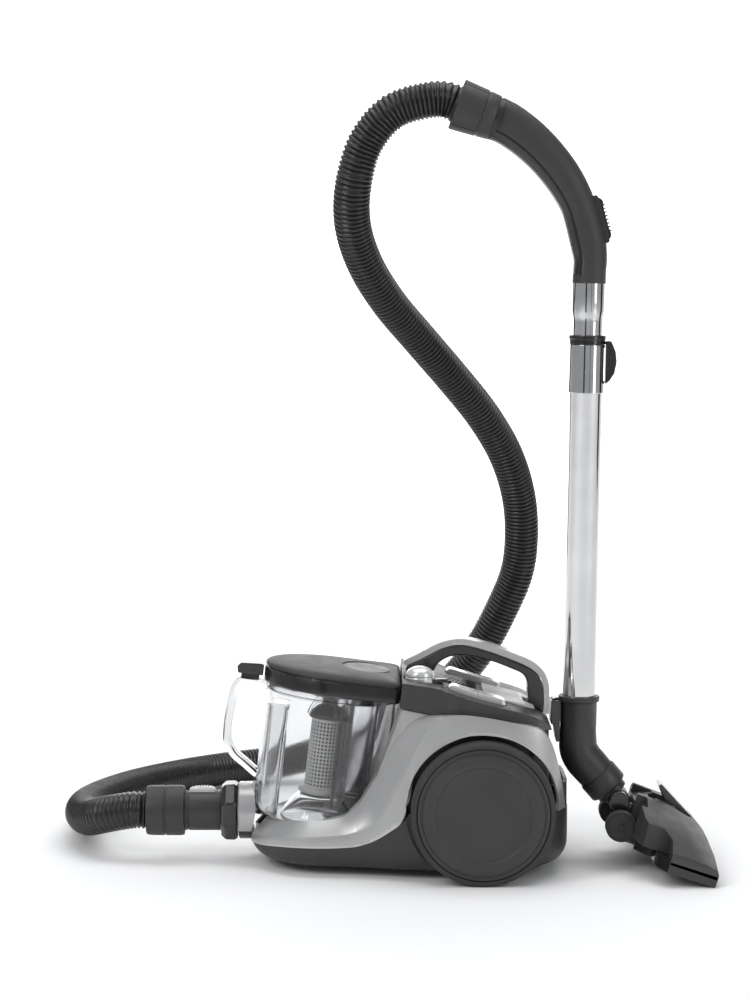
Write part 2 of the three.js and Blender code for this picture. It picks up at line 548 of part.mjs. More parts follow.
// ---- hose ---------------------------------------------------------------------------------------
// The route, from the inlet sleeve along the floor behind the canister and up to the grip's sleeve.
const hoseRoute = [[-245.4, 0, 55], [-260, 0, 55], [-290, 12, 48], [-311, 45, 38], [-323, 90, 33],
  [-327, 145, 29.5], [-323, 205, 25], [-309, 265, 22], [-284, 320, 21], [-243, 375, 21], [-190, 422, 22],
  [-130, 452, 25], [-72, 446, 38], [-18, 418, 60], [38, 385, 92], [88, 355, 136], [124, 335, 182],
  [150, 320, 232], [168, 305, 280], [172, 288, 327], [167, 268, 374], [151.5, 243, 421], [124.6, 213, 467],
  [89, 178, 512], [50.6, 139, 557], [14, 99, 601], [-12, 62, 645], [-24, 32, 688], [-21.6, 12, 730],
  [-8, 4, 771], [19, 0, 801], [56, 0, 813], [74.5, 0, 813.6], [88, 0, 808.8]];
const HOSE_SPLIT = 16;           // the lower hose ends at this point of the route, low behind the canister
const splitPoint = new THREE.Vector3(...hoseRoute[HOSE_SPLIT]);
const facing = new THREE.Vector3(...hoseRoute[HOSE_SPLIT + 1])
  .sub(new THREE.Vector3(...hoseRoute[HOSE_SPLIT - 1])).normalize();
const nearSplit = (distance) => splitPoint.clone().addScaledVector(facing, distance).toArray();
const lowerRoute = [...hoseRoute.slice(0, HOSE_SPLIT), nearSplit(-12), nearSplit(-0.2)];
const upperRoute = [nearSplit(0.2), nearSplit(12), ...hoseRoute.slice(HOSE_SPLIT + 1)];
add('hose_lower', sweep(lowerRoute, HOSE_RADIUS, 4, 22, HOSE_RADIUS - HOSE_WALL), rubber);
add('hose_upper', sweep(upperRoute, HOSE_RADIUS, 4, 22, HOSE_RADIUS - HOSE_WALL), rubber);

export default root;
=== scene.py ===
import json
import math
import bmesh
import bpy
from mathutils import Matrix, Vector


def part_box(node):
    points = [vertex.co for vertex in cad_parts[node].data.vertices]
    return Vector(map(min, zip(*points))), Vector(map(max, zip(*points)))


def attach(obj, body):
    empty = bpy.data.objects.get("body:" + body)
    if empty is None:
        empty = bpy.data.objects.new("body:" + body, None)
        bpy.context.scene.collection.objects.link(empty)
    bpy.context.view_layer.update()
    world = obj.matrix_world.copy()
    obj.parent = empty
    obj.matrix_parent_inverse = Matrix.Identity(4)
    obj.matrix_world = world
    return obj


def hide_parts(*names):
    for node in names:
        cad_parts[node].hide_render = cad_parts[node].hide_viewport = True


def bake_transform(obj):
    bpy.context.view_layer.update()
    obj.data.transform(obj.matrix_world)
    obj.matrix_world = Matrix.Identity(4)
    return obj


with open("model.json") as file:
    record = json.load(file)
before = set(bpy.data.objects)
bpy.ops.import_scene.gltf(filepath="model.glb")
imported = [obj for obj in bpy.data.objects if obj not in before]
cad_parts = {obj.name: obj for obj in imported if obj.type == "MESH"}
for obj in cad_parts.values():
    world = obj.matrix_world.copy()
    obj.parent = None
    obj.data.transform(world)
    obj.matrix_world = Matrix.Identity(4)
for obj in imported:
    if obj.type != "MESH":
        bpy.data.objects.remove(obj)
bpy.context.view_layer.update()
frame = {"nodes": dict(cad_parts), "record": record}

# ---- frame: every shape below is drawn in millimetres, x counted from the drawing's own zero
WHEEL_X, WHEEL_Z = 112.7, 75.0
ARCH_R = 80.0
WAND_X = 216.3
SIDES = (("left", -1), ("right", 1))
tyre_low, tyre_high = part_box("tyre_left")
SHIFT_X = 500 * (tyre_low.x + tyre_high.x) - WHEEL_X
TO_ROW = Matrix.Scale(0.001, 4) @ Matrix.Translation((SHIFT_X, 0, 0))

BODY_OF = {n: body for body, nodes in frame["record"]["behaviour"]["bodies"].items() for n in nodes}


def tilted(x, z, degrees):
    """A frame at x, z whose own Z leans by degrees towards +X."""
    return Matrix.Translation((x, 0, z)) @ Matrix.Rotation(math.radians(degrees), 4, "Y")


def row_point(p):
    return tuple(TO_ROW @ Vector(p))


def spread(side, near, far):
    """The low and high Y of a part that reaches from near to far on one side."""
    return sorted((near * side, far * side))


def linked(name, data):
    obj = bpy.data.objects.new(name, data)
    bpy.context.scene.collection.objects.link(obj)
    return obj


HOME = Matrix.Identity(4)
BIN = tilted(-63.8, 38, 7)
WAND = tilted(WAND_X, 0, 1)
HEAD = tilted(351, 0, 18)
NECK = tilted(237.8, 96, 139)
GRIP_END = tilted(127, 794.6, -70)
INLET = Matrix.Translation((0, 0, 55)) @ Matrix.Rotation(math.radians(90), 4, "Y")


# ---- materials
def put(node, values):
    """Sets constants on a node's own sockets."""
    for socket, value in values.items():
        node.inputs[socket].default_value = value


def shader_tree(name):
    material = bpy.data.materials.new(name)
    material.use_nodes = True
    tree = material.node_tree
    shader = tree.nodes["Principled BSDF"]
    place = tree.nodes.new("ShaderNodeTexCoord")
    return material, tree, shader, place.outputs["Object"]


def noise(tree, coords, scale, detail=3.0, stretch=None):
    if stretch is not None:
        mapping = tree.nodes.new("ShaderNodeMapping")
        mapping.inputs["Scale"].default_value = stretch
        tree.links.new(coords, mapping.inputs["Vector"])
        coords = mapping.outputs["Vector"]
    node = tree.nodes.new("ShaderNodeTexNoise")
    put(node, {"Scale": scale, "Detail": detail})
    tree.links.new(coords, node.inputs["Vector"])
    return node.outputs["Fac"]


def ramp(tree, factor, low, high, at=(0.3, 0.7)):
    node = tree.nodes.new("ShaderNodeValToRGB")
    for element, position, value in zip(node.color_ramp.elements, at, (low, high)):
        element.position = position
        element.color = (*value, 1) if isinstance(value, tuple) else (value, value, value, 1)
    tree.links.new(factor, node.inputs["Fac"])
    return node.outputs["Color"]


def span(tree, factor, low, high):
    node = tree.nodes.new("ShaderNodeMapRange")
    put(node, {"From Min": 0.3, "From Max": 0.7, "To Min": low, "To Max": high})
    tree.links.new(factor, node.inputs["Value"])
    return node.outputs["Result"]


def bump(tree, shader, height, strength, distance):
    node = tree.nodes.new("ShaderNodeBump")
    put(node, {"Strength": strength, "Distance": distance})
    tree.links.new(height, node.inputs["Height"])
    tree.links.new(node.outputs["Normal"], shader.inputs["Normal"])


def worn_edges(tree, colour, rubbed, amount):
    """Colour with its convex edges rubbed a little lighter."""
    geometry = tree.nodes.new("ShaderNodeNewGeometry")
    edge = tree.nodes.new("ShaderNodeMapRange")
    put(edge, {"From Min": 0.52, "From Max": 0.62, "To Max": amount})
    tree.links.new(geometry.outputs["Pointiness"], edge.inputs["Value"])
    mix = tree.nodes.new("ShaderNodeMix")
    mix.data_type = "RGBA"
    tree.links.new(edge.outputs["Result"], mix.inputs["Factor"])
    tree.links.new(colour, mix.inputs["A"])
    mix.inputs["B"].default_value = (rubbed, rubbed, rubbed, 1)
    return mix.outputs["Result"]


def moulding(name, low, high, gloss, grain, depth, wear=0.25, coat=0.0, specular=0.5):
    """Moulded plastic: clouded colour, spark-eroded grain, uneven gloss and lightly rubbed edges."""
    material, tree, shader, coords = shader_tree(name)
    clouds = ramp(tree, noise(tree, coords, 14, 5), low, high)
    tree.links.new(worn_edges(tree, clouds, 3 * high, wear), shader.inputs["Base Color"])
    tree.links.new(span(tree, noise(tree, coords, 60, 6), *gloss), shader.inputs["Roughness"])
    bump(tree, shader, noise(tree, coords, grain, 4), depth, 0.0004)
    shader.inputs["Specular IOR Level"].default_value = specular
    if coat:
        put(shader, {"Coat Weight": coat, "Coat Roughness": 0.12})
    return material


def metallic_paint(name, low, high, gloss):
    """Silver paint: fine flakes under a soft clear coat."""
    material, tree, shader, coords = shader_tree(name)
    flakes = ramp(tree, noise(tree, coords, 1500, 2), low, high, (0.35, 0.65))
    tree.links.new(worn_edges(tree, flakes, 0.8, 0.3), shader.inputs["Base Color"])
    put(shader, {"Metallic": 0.55, "Coat Weight": 0.35, "Coat Roughness": 0.2})
    tree.links.new(span(tree, noise(tree, coords, 35, 5), *gloss), shader.inputs["Roughness"])
    bump(tree, shader, noise(tree, coords, 900, 3), 0.12, 0.0002)
    return material


def polished(name, low, high, gloss, stretch):
    """Plated or turned metal with faint drawing lines along its length."""
    material, tree, shader, coords = shader_tree(name)
    tree.links.new(ramp(tree, noise(tree, coords, 22, 6), low, high), shader.inputs["Base Color"])
    shader.inputs["Metallic"].default_value = 1.0
    lines = noise(tree, coords, 400, 3, stretch)
    tree.links.new(span(tree, lines, *gloss), shader.inputs["Roughness"])
    bump(tree, shader, lines, 0.05, 0.0002)
    return material


def see_through(name, low, high, gloss, ior, lamp_light):
    """Clear moulding. Lamps shine through it, so that what is inside stays lit."""
    material, tree, shader, coords = shader_tree(name)
    put(shader, {"Transmission Weight": 1.0, "IOR": ior})
    tree.links.new(ramp(tree, noise(tree, coords, 9, 3), low, high), shader.inputs["Base Color"])
    tree.links.new(span(tree, noise(tree, coords, 45, 5), *gloss), shader.inputs["Roughness"])
    bump(tree, shader, noise(tree, coords, 55, 2), 0.06, 0.0006)
    path = tree.nodes.new("ShaderNodeLightPath")
    either = tree.nodes.new("ShaderNodeMath")
    either.operation = "MAXIMUM"
    tree.links.new(path.outputs["Is Shadow Ray"], either.inputs[0])
    tree.links.new(path.outputs["Is Diffuse Ray"], either.inputs[1])
    open_to_light = tree.nodes.new("ShaderNodeBsdfTransparent")
    open_to_light.inputs["Color"].default_value = (*[lamp_light] * 3, 1)
    mix = tree.nodes.new("ShaderNodeMixShader")
    tree.links.new(either.outputs[0], mix.inputs[0])
    tree.links.new(shader.outputs[0], mix.inputs[1])
    tree.links.new(open_to_light.outputs[0], mix.inputs[2])
    tree.links.new(mix.outputs[0], tree.nodes["Material Output"].inputs["Surface"])
    return material


def fibrous(name, low, high, stretch):
    material, tree, shader, coords = shader_tree(name)
    strands = noise(tree, coords, 260, 5, stretch)
    tree.links.new(ramp(tree, strands, low, high), shader.inputs["Base Color"])
    tree.links.new(span(tree, strands, 0.75, 0.95), shader.inputs["Roughness"])
    bump(tree, shader, strands, 0.7, 0.001)
    return material


CHARCOAL = moulding("charcoal_moulding", 0.027, 0.035, (0.36, 0.5), 1700, 0.25)
SATIN = moulding("satin_charcoal", 0.028, 0.036, (0.42, 0.55), 2300, 0.3)
LID_GREY = moulding("lid_grey", 0.036, 0.046, (0.46, 0.56), 1500, 0.12, specular=0.3)
GLOSS_BLACK = moulding("gloss_black", 0.009, 0.014, (0.16, 0.27), 800, 0.08, coat=0.3)
DARK = moulding("dark_moulding", 0.014, 0.02, (0.35, 0.5), 1500, 0.25)
SILVER = metallic_paint("silver_paint", 0.39, 0.48, (0.3, 0.4))
BRIGHT_SILVER = metallic_paint("bright_silver", 0.7, 0.85, (0.2, 0.3))
GREY = moulding("grey_moulding", 0.31, 0.36, (0.4, 0.52), 1500, 0.2)
PALE_GREY = moulding("pale_grey_moulding", 0.42, 0.5, (0.35, 0.5), 1500, 0.2)
CLEAR = see_through("clear_bin", (0.87, 0.875, 0.88), (0.91, 0.913, 0.917), (0.02, 0.06), 1.45, 0.9)
LOOP = see_through("clear_handle", (0.62, 0.63, 0.64), (0.7, 0.71, 0.72), (0.03, 0.08), 1.5, 0.85)
SMOKE = see_through("smoke_moulding", (0.85, 0.85, 0.86), (0.91, 0.91, 0.92), (0.12, 0.24), 1.25, 0.8)
CHROME = polished("chrome_tube", 0.62, 0.72, (0.05, 0.12), (1, 1, 0.01))
STEEL = polished("plain_steel", 0.38, 0.5, (0.25, 0.42), (1, 0.05, 1))
RUBBER = moulding("rubber", 0.025, 0.032, (0.6, 0.8), 1200, 0.5, wear=0.1)
HOSE = moulding("hose_ribs", 0.008, 0.014, (0.24, 0.38), 700, 0.2, wear=0.5)
FOAM = fibrous("filter_fleece", (0.6, 0.59, 0.55), (0.75, 0.74, 0.7), (1, 1, 0.2))
BRISTLE = fibrous("brush_bristle", 0.008, 0.03, (6, 6, 0.1))


# ---- shapes: each is (points, faces) in millimetres
def spline(points, per_span=8, closed=False):
    """Centripetal Catmull-Rom through points of any dimension."""
    p = [tuple(map(float, q)) for q in points]
    if closed:
        ring = [p[-1], *p, p[0], p[1]]
    else:
        first = tuple(2 * a - b for a, b in zip(p[0], p[1]))
        last = tuple(2 * a - b for a, b in zip(p[-1], p[-2]))
        ring = [first, *p, last]
    out = []
    for k in range(1, len(ring) - 2):
        a, b, c, d = ring[k - 1:k + 3]
        t = [0.0]
        for u, v in ((a, b), (b, c), (c, d)):
            t.append(t[-1] + max(math.dist(u, v), 1e-6) ** 0.5)
        for i in range(per_span):
            s = t[1] + (t[2] - t[1]) * i / per_span

            def mid(u, v, lo, hi):
                return tuple(((hi - s) * m + (s - lo) * n) / (hi - lo) for m, n in zip(u, v))
            ab, bc, cd = mid(a, b, t[0], t[1]), mid(b, c, t[1], t[2]), mid(c, d, t[2], t[3])
            out.append(mid(mid(ab, bc, t[0], t[2]), mid(bc, cd, t[1], t[3]), t[1], t[2]))
    if not closed:
        out.append(p[-1])
    return out


def arc(cx, cz, radius, start, stop, count):
    angles = [math.radians(start + (stop - start) * i / count) for i in range(count + 1)]
    return [(cx + radius * math.cos(a), cz + radius * math.sin(a)) for a in angles]


def loft(rings, close_ends=True, looped=False):
    """Rings of equal point counts, joined in turn."""
    n = len(rings[0])
    points = [p for ring in rings for p in ring]
    faces = []
    for k in range(len(rings) if looped else len(rings) - 1):
        a, b = k * n, ((k + 1) % len(rings)) * n
        faces += [(a + i, a + (i + 1) % n, b + (i + 1) % n, b + i) for i in range(n)]
    if close_ends and not looped:
        faces += [tuple(reversed(range(n))), tuple(range(len(points) - n, len(points)))]
    return points, faces


def plate(outline, y0, y1):
    return loft([[(x, y0, z) for x, z in outline], [(x, y1, z) for x, z in outline]])


def slab(outline, z0, z1):
    return loft([[(x, y, z0) for x, y in outline], [(x, y, z1) for x, y in outline]])


def block(x0, x1, y0, y1, z0, z1):
    return slab([(x0, y0), (x1, y0), (x1, y1), (x0, y1)], z0, z1)


def lathe(profile, sides=64, phase=0.0):
    """Turned about Z from [radius, height] pairs. A profile that ends where it began is a ring."""
    looped = math.dist(profile[0], profile[-1]) < 1e-6
    profile = profile[:-1] if looped else profile
    angles = [phase + 2 * math.pi * i / sides for i in range(sides)]
    return loft([[(r * math.cos(a), r * math.sin(a), h) for a in angles] for r, h in profile],
                close_ends=not looped, looped=looped)


def pipe(outer, inner, z0, z1, edge=0.6, sides=64):
    return lathe([(inner, z0), (outer - edge, z0), (outer, z0 + edge), (outer, z1 - edge),
                  (outer - edge, z1), (inner, z1), (inner, z0)], sides)


def rod(radius, z0, z1, edge=0.5, sides=48):
    return lathe([(0.01, z0), (radius - edge, z0), (radius, z0 + edge), (radius, z1 - edge),
                  (radius - edge, z1), (0.01, z1)], sides)


def turned_to(shape, matrix):
    return [tuple(matrix @ Vector(p)) for p in shape[0]], shape[1]


ALONG_Y = Matrix.Rotation(math.radians(-90), 4, "X")
ALONG_X = Matrix.Rotation(math.radians(90), 4, "Y")


def moved(shape, x=0.0, y=0.0, z=0.0):
    return turned_to(shape, Matrix.Translation((x, y, z)))


def crosswise(shape, x, z):
    """shape turned to lie along Y, at x, z."""
    return moved(turned_to(shape, ALONG_Y), x, 0, z)


def lengthwise(shape, z):
    """shape turned to lie along X, at height z."""
    return moved(turned_to(shape, ALONG_X), 0, 0, z)


def both(*shapes):
    points, faces = [], []
    for p, f in shapes:
        faces += [tuple(i + len(points) for i in face) for face in f]
        points += p
    return points, faces


def frames_along(path):
    """Unit side and up vectors that follow a path without twisting."""
    path = [Vector(p) for p in path]
    tangents = []
    for i in range(len(path)):
        a, b = path[max(i - 1, 0)], path[min(i + 1, len(path) - 1)]
        tangents.append((b - a).normalized())
    up = Vector((0, 1, 0)) if abs(tangents[0].y) < 0.9 else Vector((0, 0, 1))
    frames = []
    for t in tangents:
        up = (up - t * up.dot(t)).normalized()
        frames.append((up.cross(t).normalized(), up))
    return frames


def swept(path, radii, sides=32, squareness=1.0):
    """A tube along path. radii gives (in the curve's plane, across it) at each point."""
    rings = []
    for p, (side, up), (r1, r2) in zip(path, frames_along(path), radii):
        ring = []
        for i in range(sides):
            a = 2 * math.pi * i / sides
            c, s = math.cos(a), math.sin(a)
            c, s = (math.copysign(abs(v) ** squareness, v) for v in (c, s))
            ring.append(tuple(Vector(p) + side * (r1 * c) + up * (r2 * s)))
        rings.append(ring)
    return loft(rings)


def make(shape, place=HOME, name="cutter"):
    points, faces = shape
    mesh = bpy.data.meshes.new(name)
    mesh.from_pydata([tuple(TO_ROW @ place @ Vector(p)) for p in points], [], faces)
    body = bmesh.new()
    body.from_mesh(mesh)
    bmesh.ops.remove_doubles(body, verts=body.verts, dist=2e-5)
    bmesh.ops.dissolve_degenerate(body, edges=body.edges, dist=1e-6)
    bmesh.ops.recalc_face_normals(body, faces=body.faces)
    body.to_mesh(mesh)
    body.free()
    return linked(name, mesh)


def applied(obj):
    """obj with its modifiers turned into mesh."""
    graph = bpy.context.evaluated_depsgraph_get()
    mesh = bpy.data.meshes.new_from_object(obj.evaluated_get(graph))
    obj.modifiers.clear()
    obj.data = mesh
    return obj


def combine(obj, operation, *others, place=HOME):
    """others are shapes drawn in place, or made objects, which are used up."""
    for other in others:
        if not isinstance(other, bpy.types.Object):
            other = make(other, place)
        step = obj.modifiers.new("step", "BOOLEAN")
        step.operation = operation
        step.solver = "EXACT"
        step.object = other
        applied(obj)
        bpy.data.objects.remove(other)
    return obj


def cut(obj, *shapes, place=HOME):
    return combine(obj, "DIFFERENCE", *shapes, place=place)


def keep(obj, *shapes, place=HOME):
    return combine(obj, "INTERSECT", *shapes, place=place)


def finish_edges(obj, bevel, sharp=32, segments=3):
    mesh = obj.data
    mesh.polygons.foreach_set("use_smooth", [True] * len(mesh.polygons))
    mesh.set_sharp_from_angle(angle=math.radians(sharp))
    if bevel:
        rounding = obj.modifiers.new("rounding", "BEVEL")
        rounding.width = bevel * 0.001
        rounding.segments = segments
        rounding.limit_method = "ANGLE"
        rounding.angle_limit = math.radians(sharp)
        rounding.harden_normals = True
        rounding.use_clamp_overlap = True


def finish(obj, name, material, nodes, body=None, bevel=0.0, sharp=32):
    """Names a piece, finishes it, and hands it to the body of the node it stands for."""
    nodes = [nodes] if isinstance(nodes, str) else list(nodes)
    obj.name = name
    obj.data.name = name
    obj.data.materials.clear()
    obj.data.materials.append(material)
    finish_edges(obj, bevel, sharp)
    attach(obj, body or BODY_OF[nodes[0]])
    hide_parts(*nodes)
    return obj


def add(name, shape, material, nodes, place=HOME, body=None, bevel=0.0, sharp=32):
    return finish(make(shape, place, name), name, material, nodes, body, bevel, sharp)


def dress(node, material, bevel=0.5):
    """A CAD node whose shape stays: a procedural finish and rounded edges."""
    obj = frame["nodes"][node]
    obj.data.materials.clear()
    obj.data.materials.append(material)
    for slot_holder in obj.material_slots:
        slot_holder.material = material
    weld = obj.modifiers.new("weld", "WELD")
    weld.merge_threshold = 1e-5
    if bevel:
        rounding = obj.modifiers.new("rounding", "BEVEL")
        rounding.width = bevel * 0.001
        rounding.segments = 2
        rounding.limit_method = "ANGLE"
        rounding.angle_limit = math.radians(40)


# ---- camera, floor and light
CAMERA_LENS, CAMERA_BACK, CAMERA_UP, CAMERA_DIP = 101.6, 3.0, 0.65, 4.95


def studio():
    camera = linked("camera", bpy.data.cameras.new("camera"))
    camera.data.lens = CAMERA_LENS
    camera.data.sensor_width = 36.0
    camera.location = (SHIFT_X * 0.001, -CAMERA_BACK, CAMERA_UP)
    camera.rotation_euler = (math.radians(90 - CAMERA_DIP), 0, 0)
    bpy.context.scene.camera = camera

    profile = [(-6.0, 0.0), (3.0, 0.0), (3.8, 0.1), (4.4, 0.4), (4.8, 1.0), (5.0, 2.0), (5.0, 6.0)]
    points = [(x, y, z) for y, z in profile for x in (-8, 8)]
    faces = [(2 * k, 2 * k + 1, 2 * k + 3, 2 * k + 2) for k in range(len(profile) - 1)]
    mesh = bpy.data.meshes.new("floor")
    mesh.from_pydata(points, [], faces)
    mesh.polygons.foreach_set("use_smooth", [True] * len(mesh.polygons))
    backdrop = linked("floor", mesh)
    material, tree, shader, coords = shader_tree("pale_floor")
    tree.links.new(ramp(tree, noise(tree, coords, 2), 0.95, 0.96), shader.inputs["Base Color"])
    shader.inputs["Roughness"].default_value = 0.9
    mesh.materials.append(material)

    world = bpy.data.worlds.new("studio")
    bpy.context.scene.world = world
    world.use_nodes = True
    put(world.node_tree.nodes["Background"], {"Color": (0.9, 0.92, 0.95, 1), "Strength": 0.42})

    def softbox(name, spot, aim, width, height, watts):
        lamp = bpy.data.lights.new(name, "AREA")
        lamp.shape = "RECTANGLE"
        lamp.size, lamp.size_y, lamp.energy = width, height, watts
        obj = linked(name, lamp)
        obj.location = spot
        obj.rotation_euler = (Vector(aim) - Vector(spot)).to_track_quat("-Z", "Y").to_euler()

    softbox("key", (-1.9, -2.2, 2.3), (0, 0, 0.3), 1.2, 1.8, 37)
    softbox("fill", (2.4, -2.0, 1.2), (0, 0, 0.3), 0.8, 2.2, 18)
    softbox("top", (0, 0.3, 3.0), (0, 0, 0), 3.0, 2.0, 47)
    softbox("back", (0, 2.6, 3.0), (0, 5, 0.8), 5.0, 1.2, 190)

    black, tree, shader, coords = shader_tree("flag_cloth")
    tree.links.new(ramp(tree, noise(tree, coords, 30), 0.002, 0.004), shader.inputs["Base Color"])
    shader.inputs["Roughness"].default_value = 0.95

    def flag(name, bearing, distance, width):
        """A tall dark card that only reflections show. bearing is 0 on the camera's side of the wand."""
        a = math.radians(bearing)
        out = Vector((math.sin(a), -math.cos(a), 0))
        middle = Vector(row_point((WAND_X, 0, 0))) + out * distance
        across = Vector((out.y, -out.x, 0)) * width / 2
        up = Vector((0, 0, 2.6))
        card = bpy.data.meshes.new(name)
        foot = [middle - across, middle + across]
        card.from_pydata([*foot, foot[1] + up, foot[0] + up], [], [(0, 1, 2, 3)])
        card.materials.append(black)
        obj = linked(name, card)
        obj.visible_camera = obj.visible_diffuse = obj.visible_shadow = False

    flag("flag_back_left", -138, 2.4, 0.5)
    flag("flag_front_left", -20, 2.6, 0.42)
    flag("flag_front_right", 17, 2.6, 0.1)
    flag("flag_right", 100, 2.2, 0.7)

    bpy.context.scene.view_settings.view_transform = "Standard"


# ---- hose
HOSE_ROUTE = [
    (-245.4, 0, 55), (-260, 0, 55), (-290, 12, 48), (-311, 45, 38), (-323, 90, 33), (-327, 145, 29.5),
    (-323, 205, 25), (-309, 265, 22), (-284, 320, 21), (-243, 375, 21), (-190, 422, 22),
    (-130, 452, 25), (-72, 446, 38), (-18, 418, 60), (38, 385, 92), (88, 355, 136), (124, 335, 182),
    (150, 320, 232), (168, 305, 280), (172, 288, 327), (167, 268, 374), (151.5, 243, 421),
    (124.6, 213, 467), (89, 178, 512), (50.6, 139, 557), (14, 99, 601), (-12, 62, 645), (-24, 32, 688),
    (-21.6, 12, 730), (-8, 4, 771), (19, 0, 801), (56, 0, 813), (74.5, 0, 813.6), (88, 0, 808.8),
]
HOSE_SPLIT = 16
LOWER_STILL, UPPER_STILL = 12, 28  # route points put in each half's entry as its start and stop, which the build loop doesn't use
SPLIT_GAP, SPLIT_LEAD = 0.2, 12
RIB_PITCH = 5.0
RIB = ((0.0, 17.9), (0.22, 18.4), (0.42, 19.7), (0.6, 20.0), (0.78, 19.6), (0.92, 18.3))


def evenly(path, step):
    """path sampled again at even steps of about step; returns the points and its length."""
    path = [Vector(p) for p in path]
    reach = [0.0]
    for a, b in zip(path, path[1:]):
        reach.append(reach[-1] + (b - a).length)
    count = max(2, round(reach[-1] / step))
    out, k = [], 0
    for i in range(count + 1):
        s = reach[-1] * i / count
        while k < len(path) - 2 and reach[k + 1] < s:
            k += 1
        out.append(path[k].lerp(path[k + 1], (s - reach[k]) / max(reach[k + 1] - reach[k], 1e-9)))
    return out, reach[-1]


def ribbed_tube(path):
    """A corrugated tube on path: a rounded rib every RIB_PITCH."""
    stations, length = evenly(path, 1.0)
    ribs = round(length / RIB_PITCH)
    line, radii = [], []
    for k in range(ribs):
        for phase, radius in RIB:
            s = (k + phase) / ribs * (len(stations) - 1)
            i = min(int(s), len(stations) - 2)
            line.append(stations[i].lerp(stations[i + 1], s - i))
            radii.append((radius, radius))
    return swept(line, radii, 28), length, stations


def hose():
    direction = (Vector(HOSE_ROUTE[HOSE_SPLIT + 1]) - Vector(HOSE_ROUTE[HOSE_SPLIT - 1])).normalized()
    split = Vector(HOSE_ROUTE[HOSE_SPLIT])
    lower = HOSE_ROUTE[:HOSE_SPLIT] + [split - SPLIT_LEAD * direction, split - SPLIT_GAP * direction]
    upper = [split + SPLIT_GAP * direction, split + SPLIT_LEAD * direction] + HOSE_ROUTE[HOSE_SPLIT + 1:]
    still = (HOSE_ROUTE[LOWER_STILL][0], split.y, HOSE_ROUTE[LOWER_STILL][2])
    bends = (
        ("hose_lower", lower, "hose_lower_ribbed", "root", "wand", still, split),
        ("hose_upper", upper, "hose_upper_ribbed", "wand", "handle", split, HOSE_ROUTE[UPPER_STILL]),
    )
    for node, route, name, first, second, start, stop in bends:
        shape, length, stations = ribbed_tube(spline(route, 12))
        obj = make(shape, name=name)
        obj.name = name
        obj.data.materials.append(HOSE)
        finish_edges(obj, 0, 60)
        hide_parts(node)
        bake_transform(obj)


# ---- canister plan
NOSE_X, NOSE_R = -46.0, 90.0
SIDE_POINTS = [(-10, 96), (25, 105), (70, 111), (120, 112), (165, 106), (190, 92), (203, 66), (206, 30)]


def plan_half(inset):
    """The canister's plan from its nose to its tail on the +Y side, shrunk by inset."""
    radius = NOSE_R - inset
    nose = [(NOSE_X - radius * math.cos(a), radius * math.sin(a))
            for a in (math.radians(4 * i) for i in range(23))]
    side = [(x - (inset if x > 180 else 0), y - inset * min(1.0, y / 66)) for x, y in SIDE_POINTS]
    return nose[:-1] + spline([nose[-1], *side, (206.4 - inset, 0)], 6)


def plan(inset):
    half = plan_half(inset)
    return half + [(x, -y) for x, y in reversed(half[1:-1])]


def plan_y(x, inset):
    """Half width of the canister at x."""
    half = plan_half(inset)
    for (x0, y0), (x1, y1) in zip(half, half[1:]):
        if x0 <= x <= x1 or (x1 < x <= x0 and x > 150):
            return y0 + (y1 - y0) * (x - x0) / ((x1 - x0) or 1)
    return 0.0


def prism(inset):
    return slab(plan(inset), -5, 260)


def wheel_bay(side):
    low, high = spread(side, 103, 143)
    return crosswise(rod(ARCH_R, low, high, 0.01, 96), WHEEL_X, WHEEL_Z)


# ---- canister shells
BELLY = [(6, 40), (6.6, 30), (8, 22), (10.5, 15.5), (14, 10.5), (18, 7), (23, 4.2), (28, 2.4), (33, 1.5),
         (40, 1.2), (72, 1.2)]


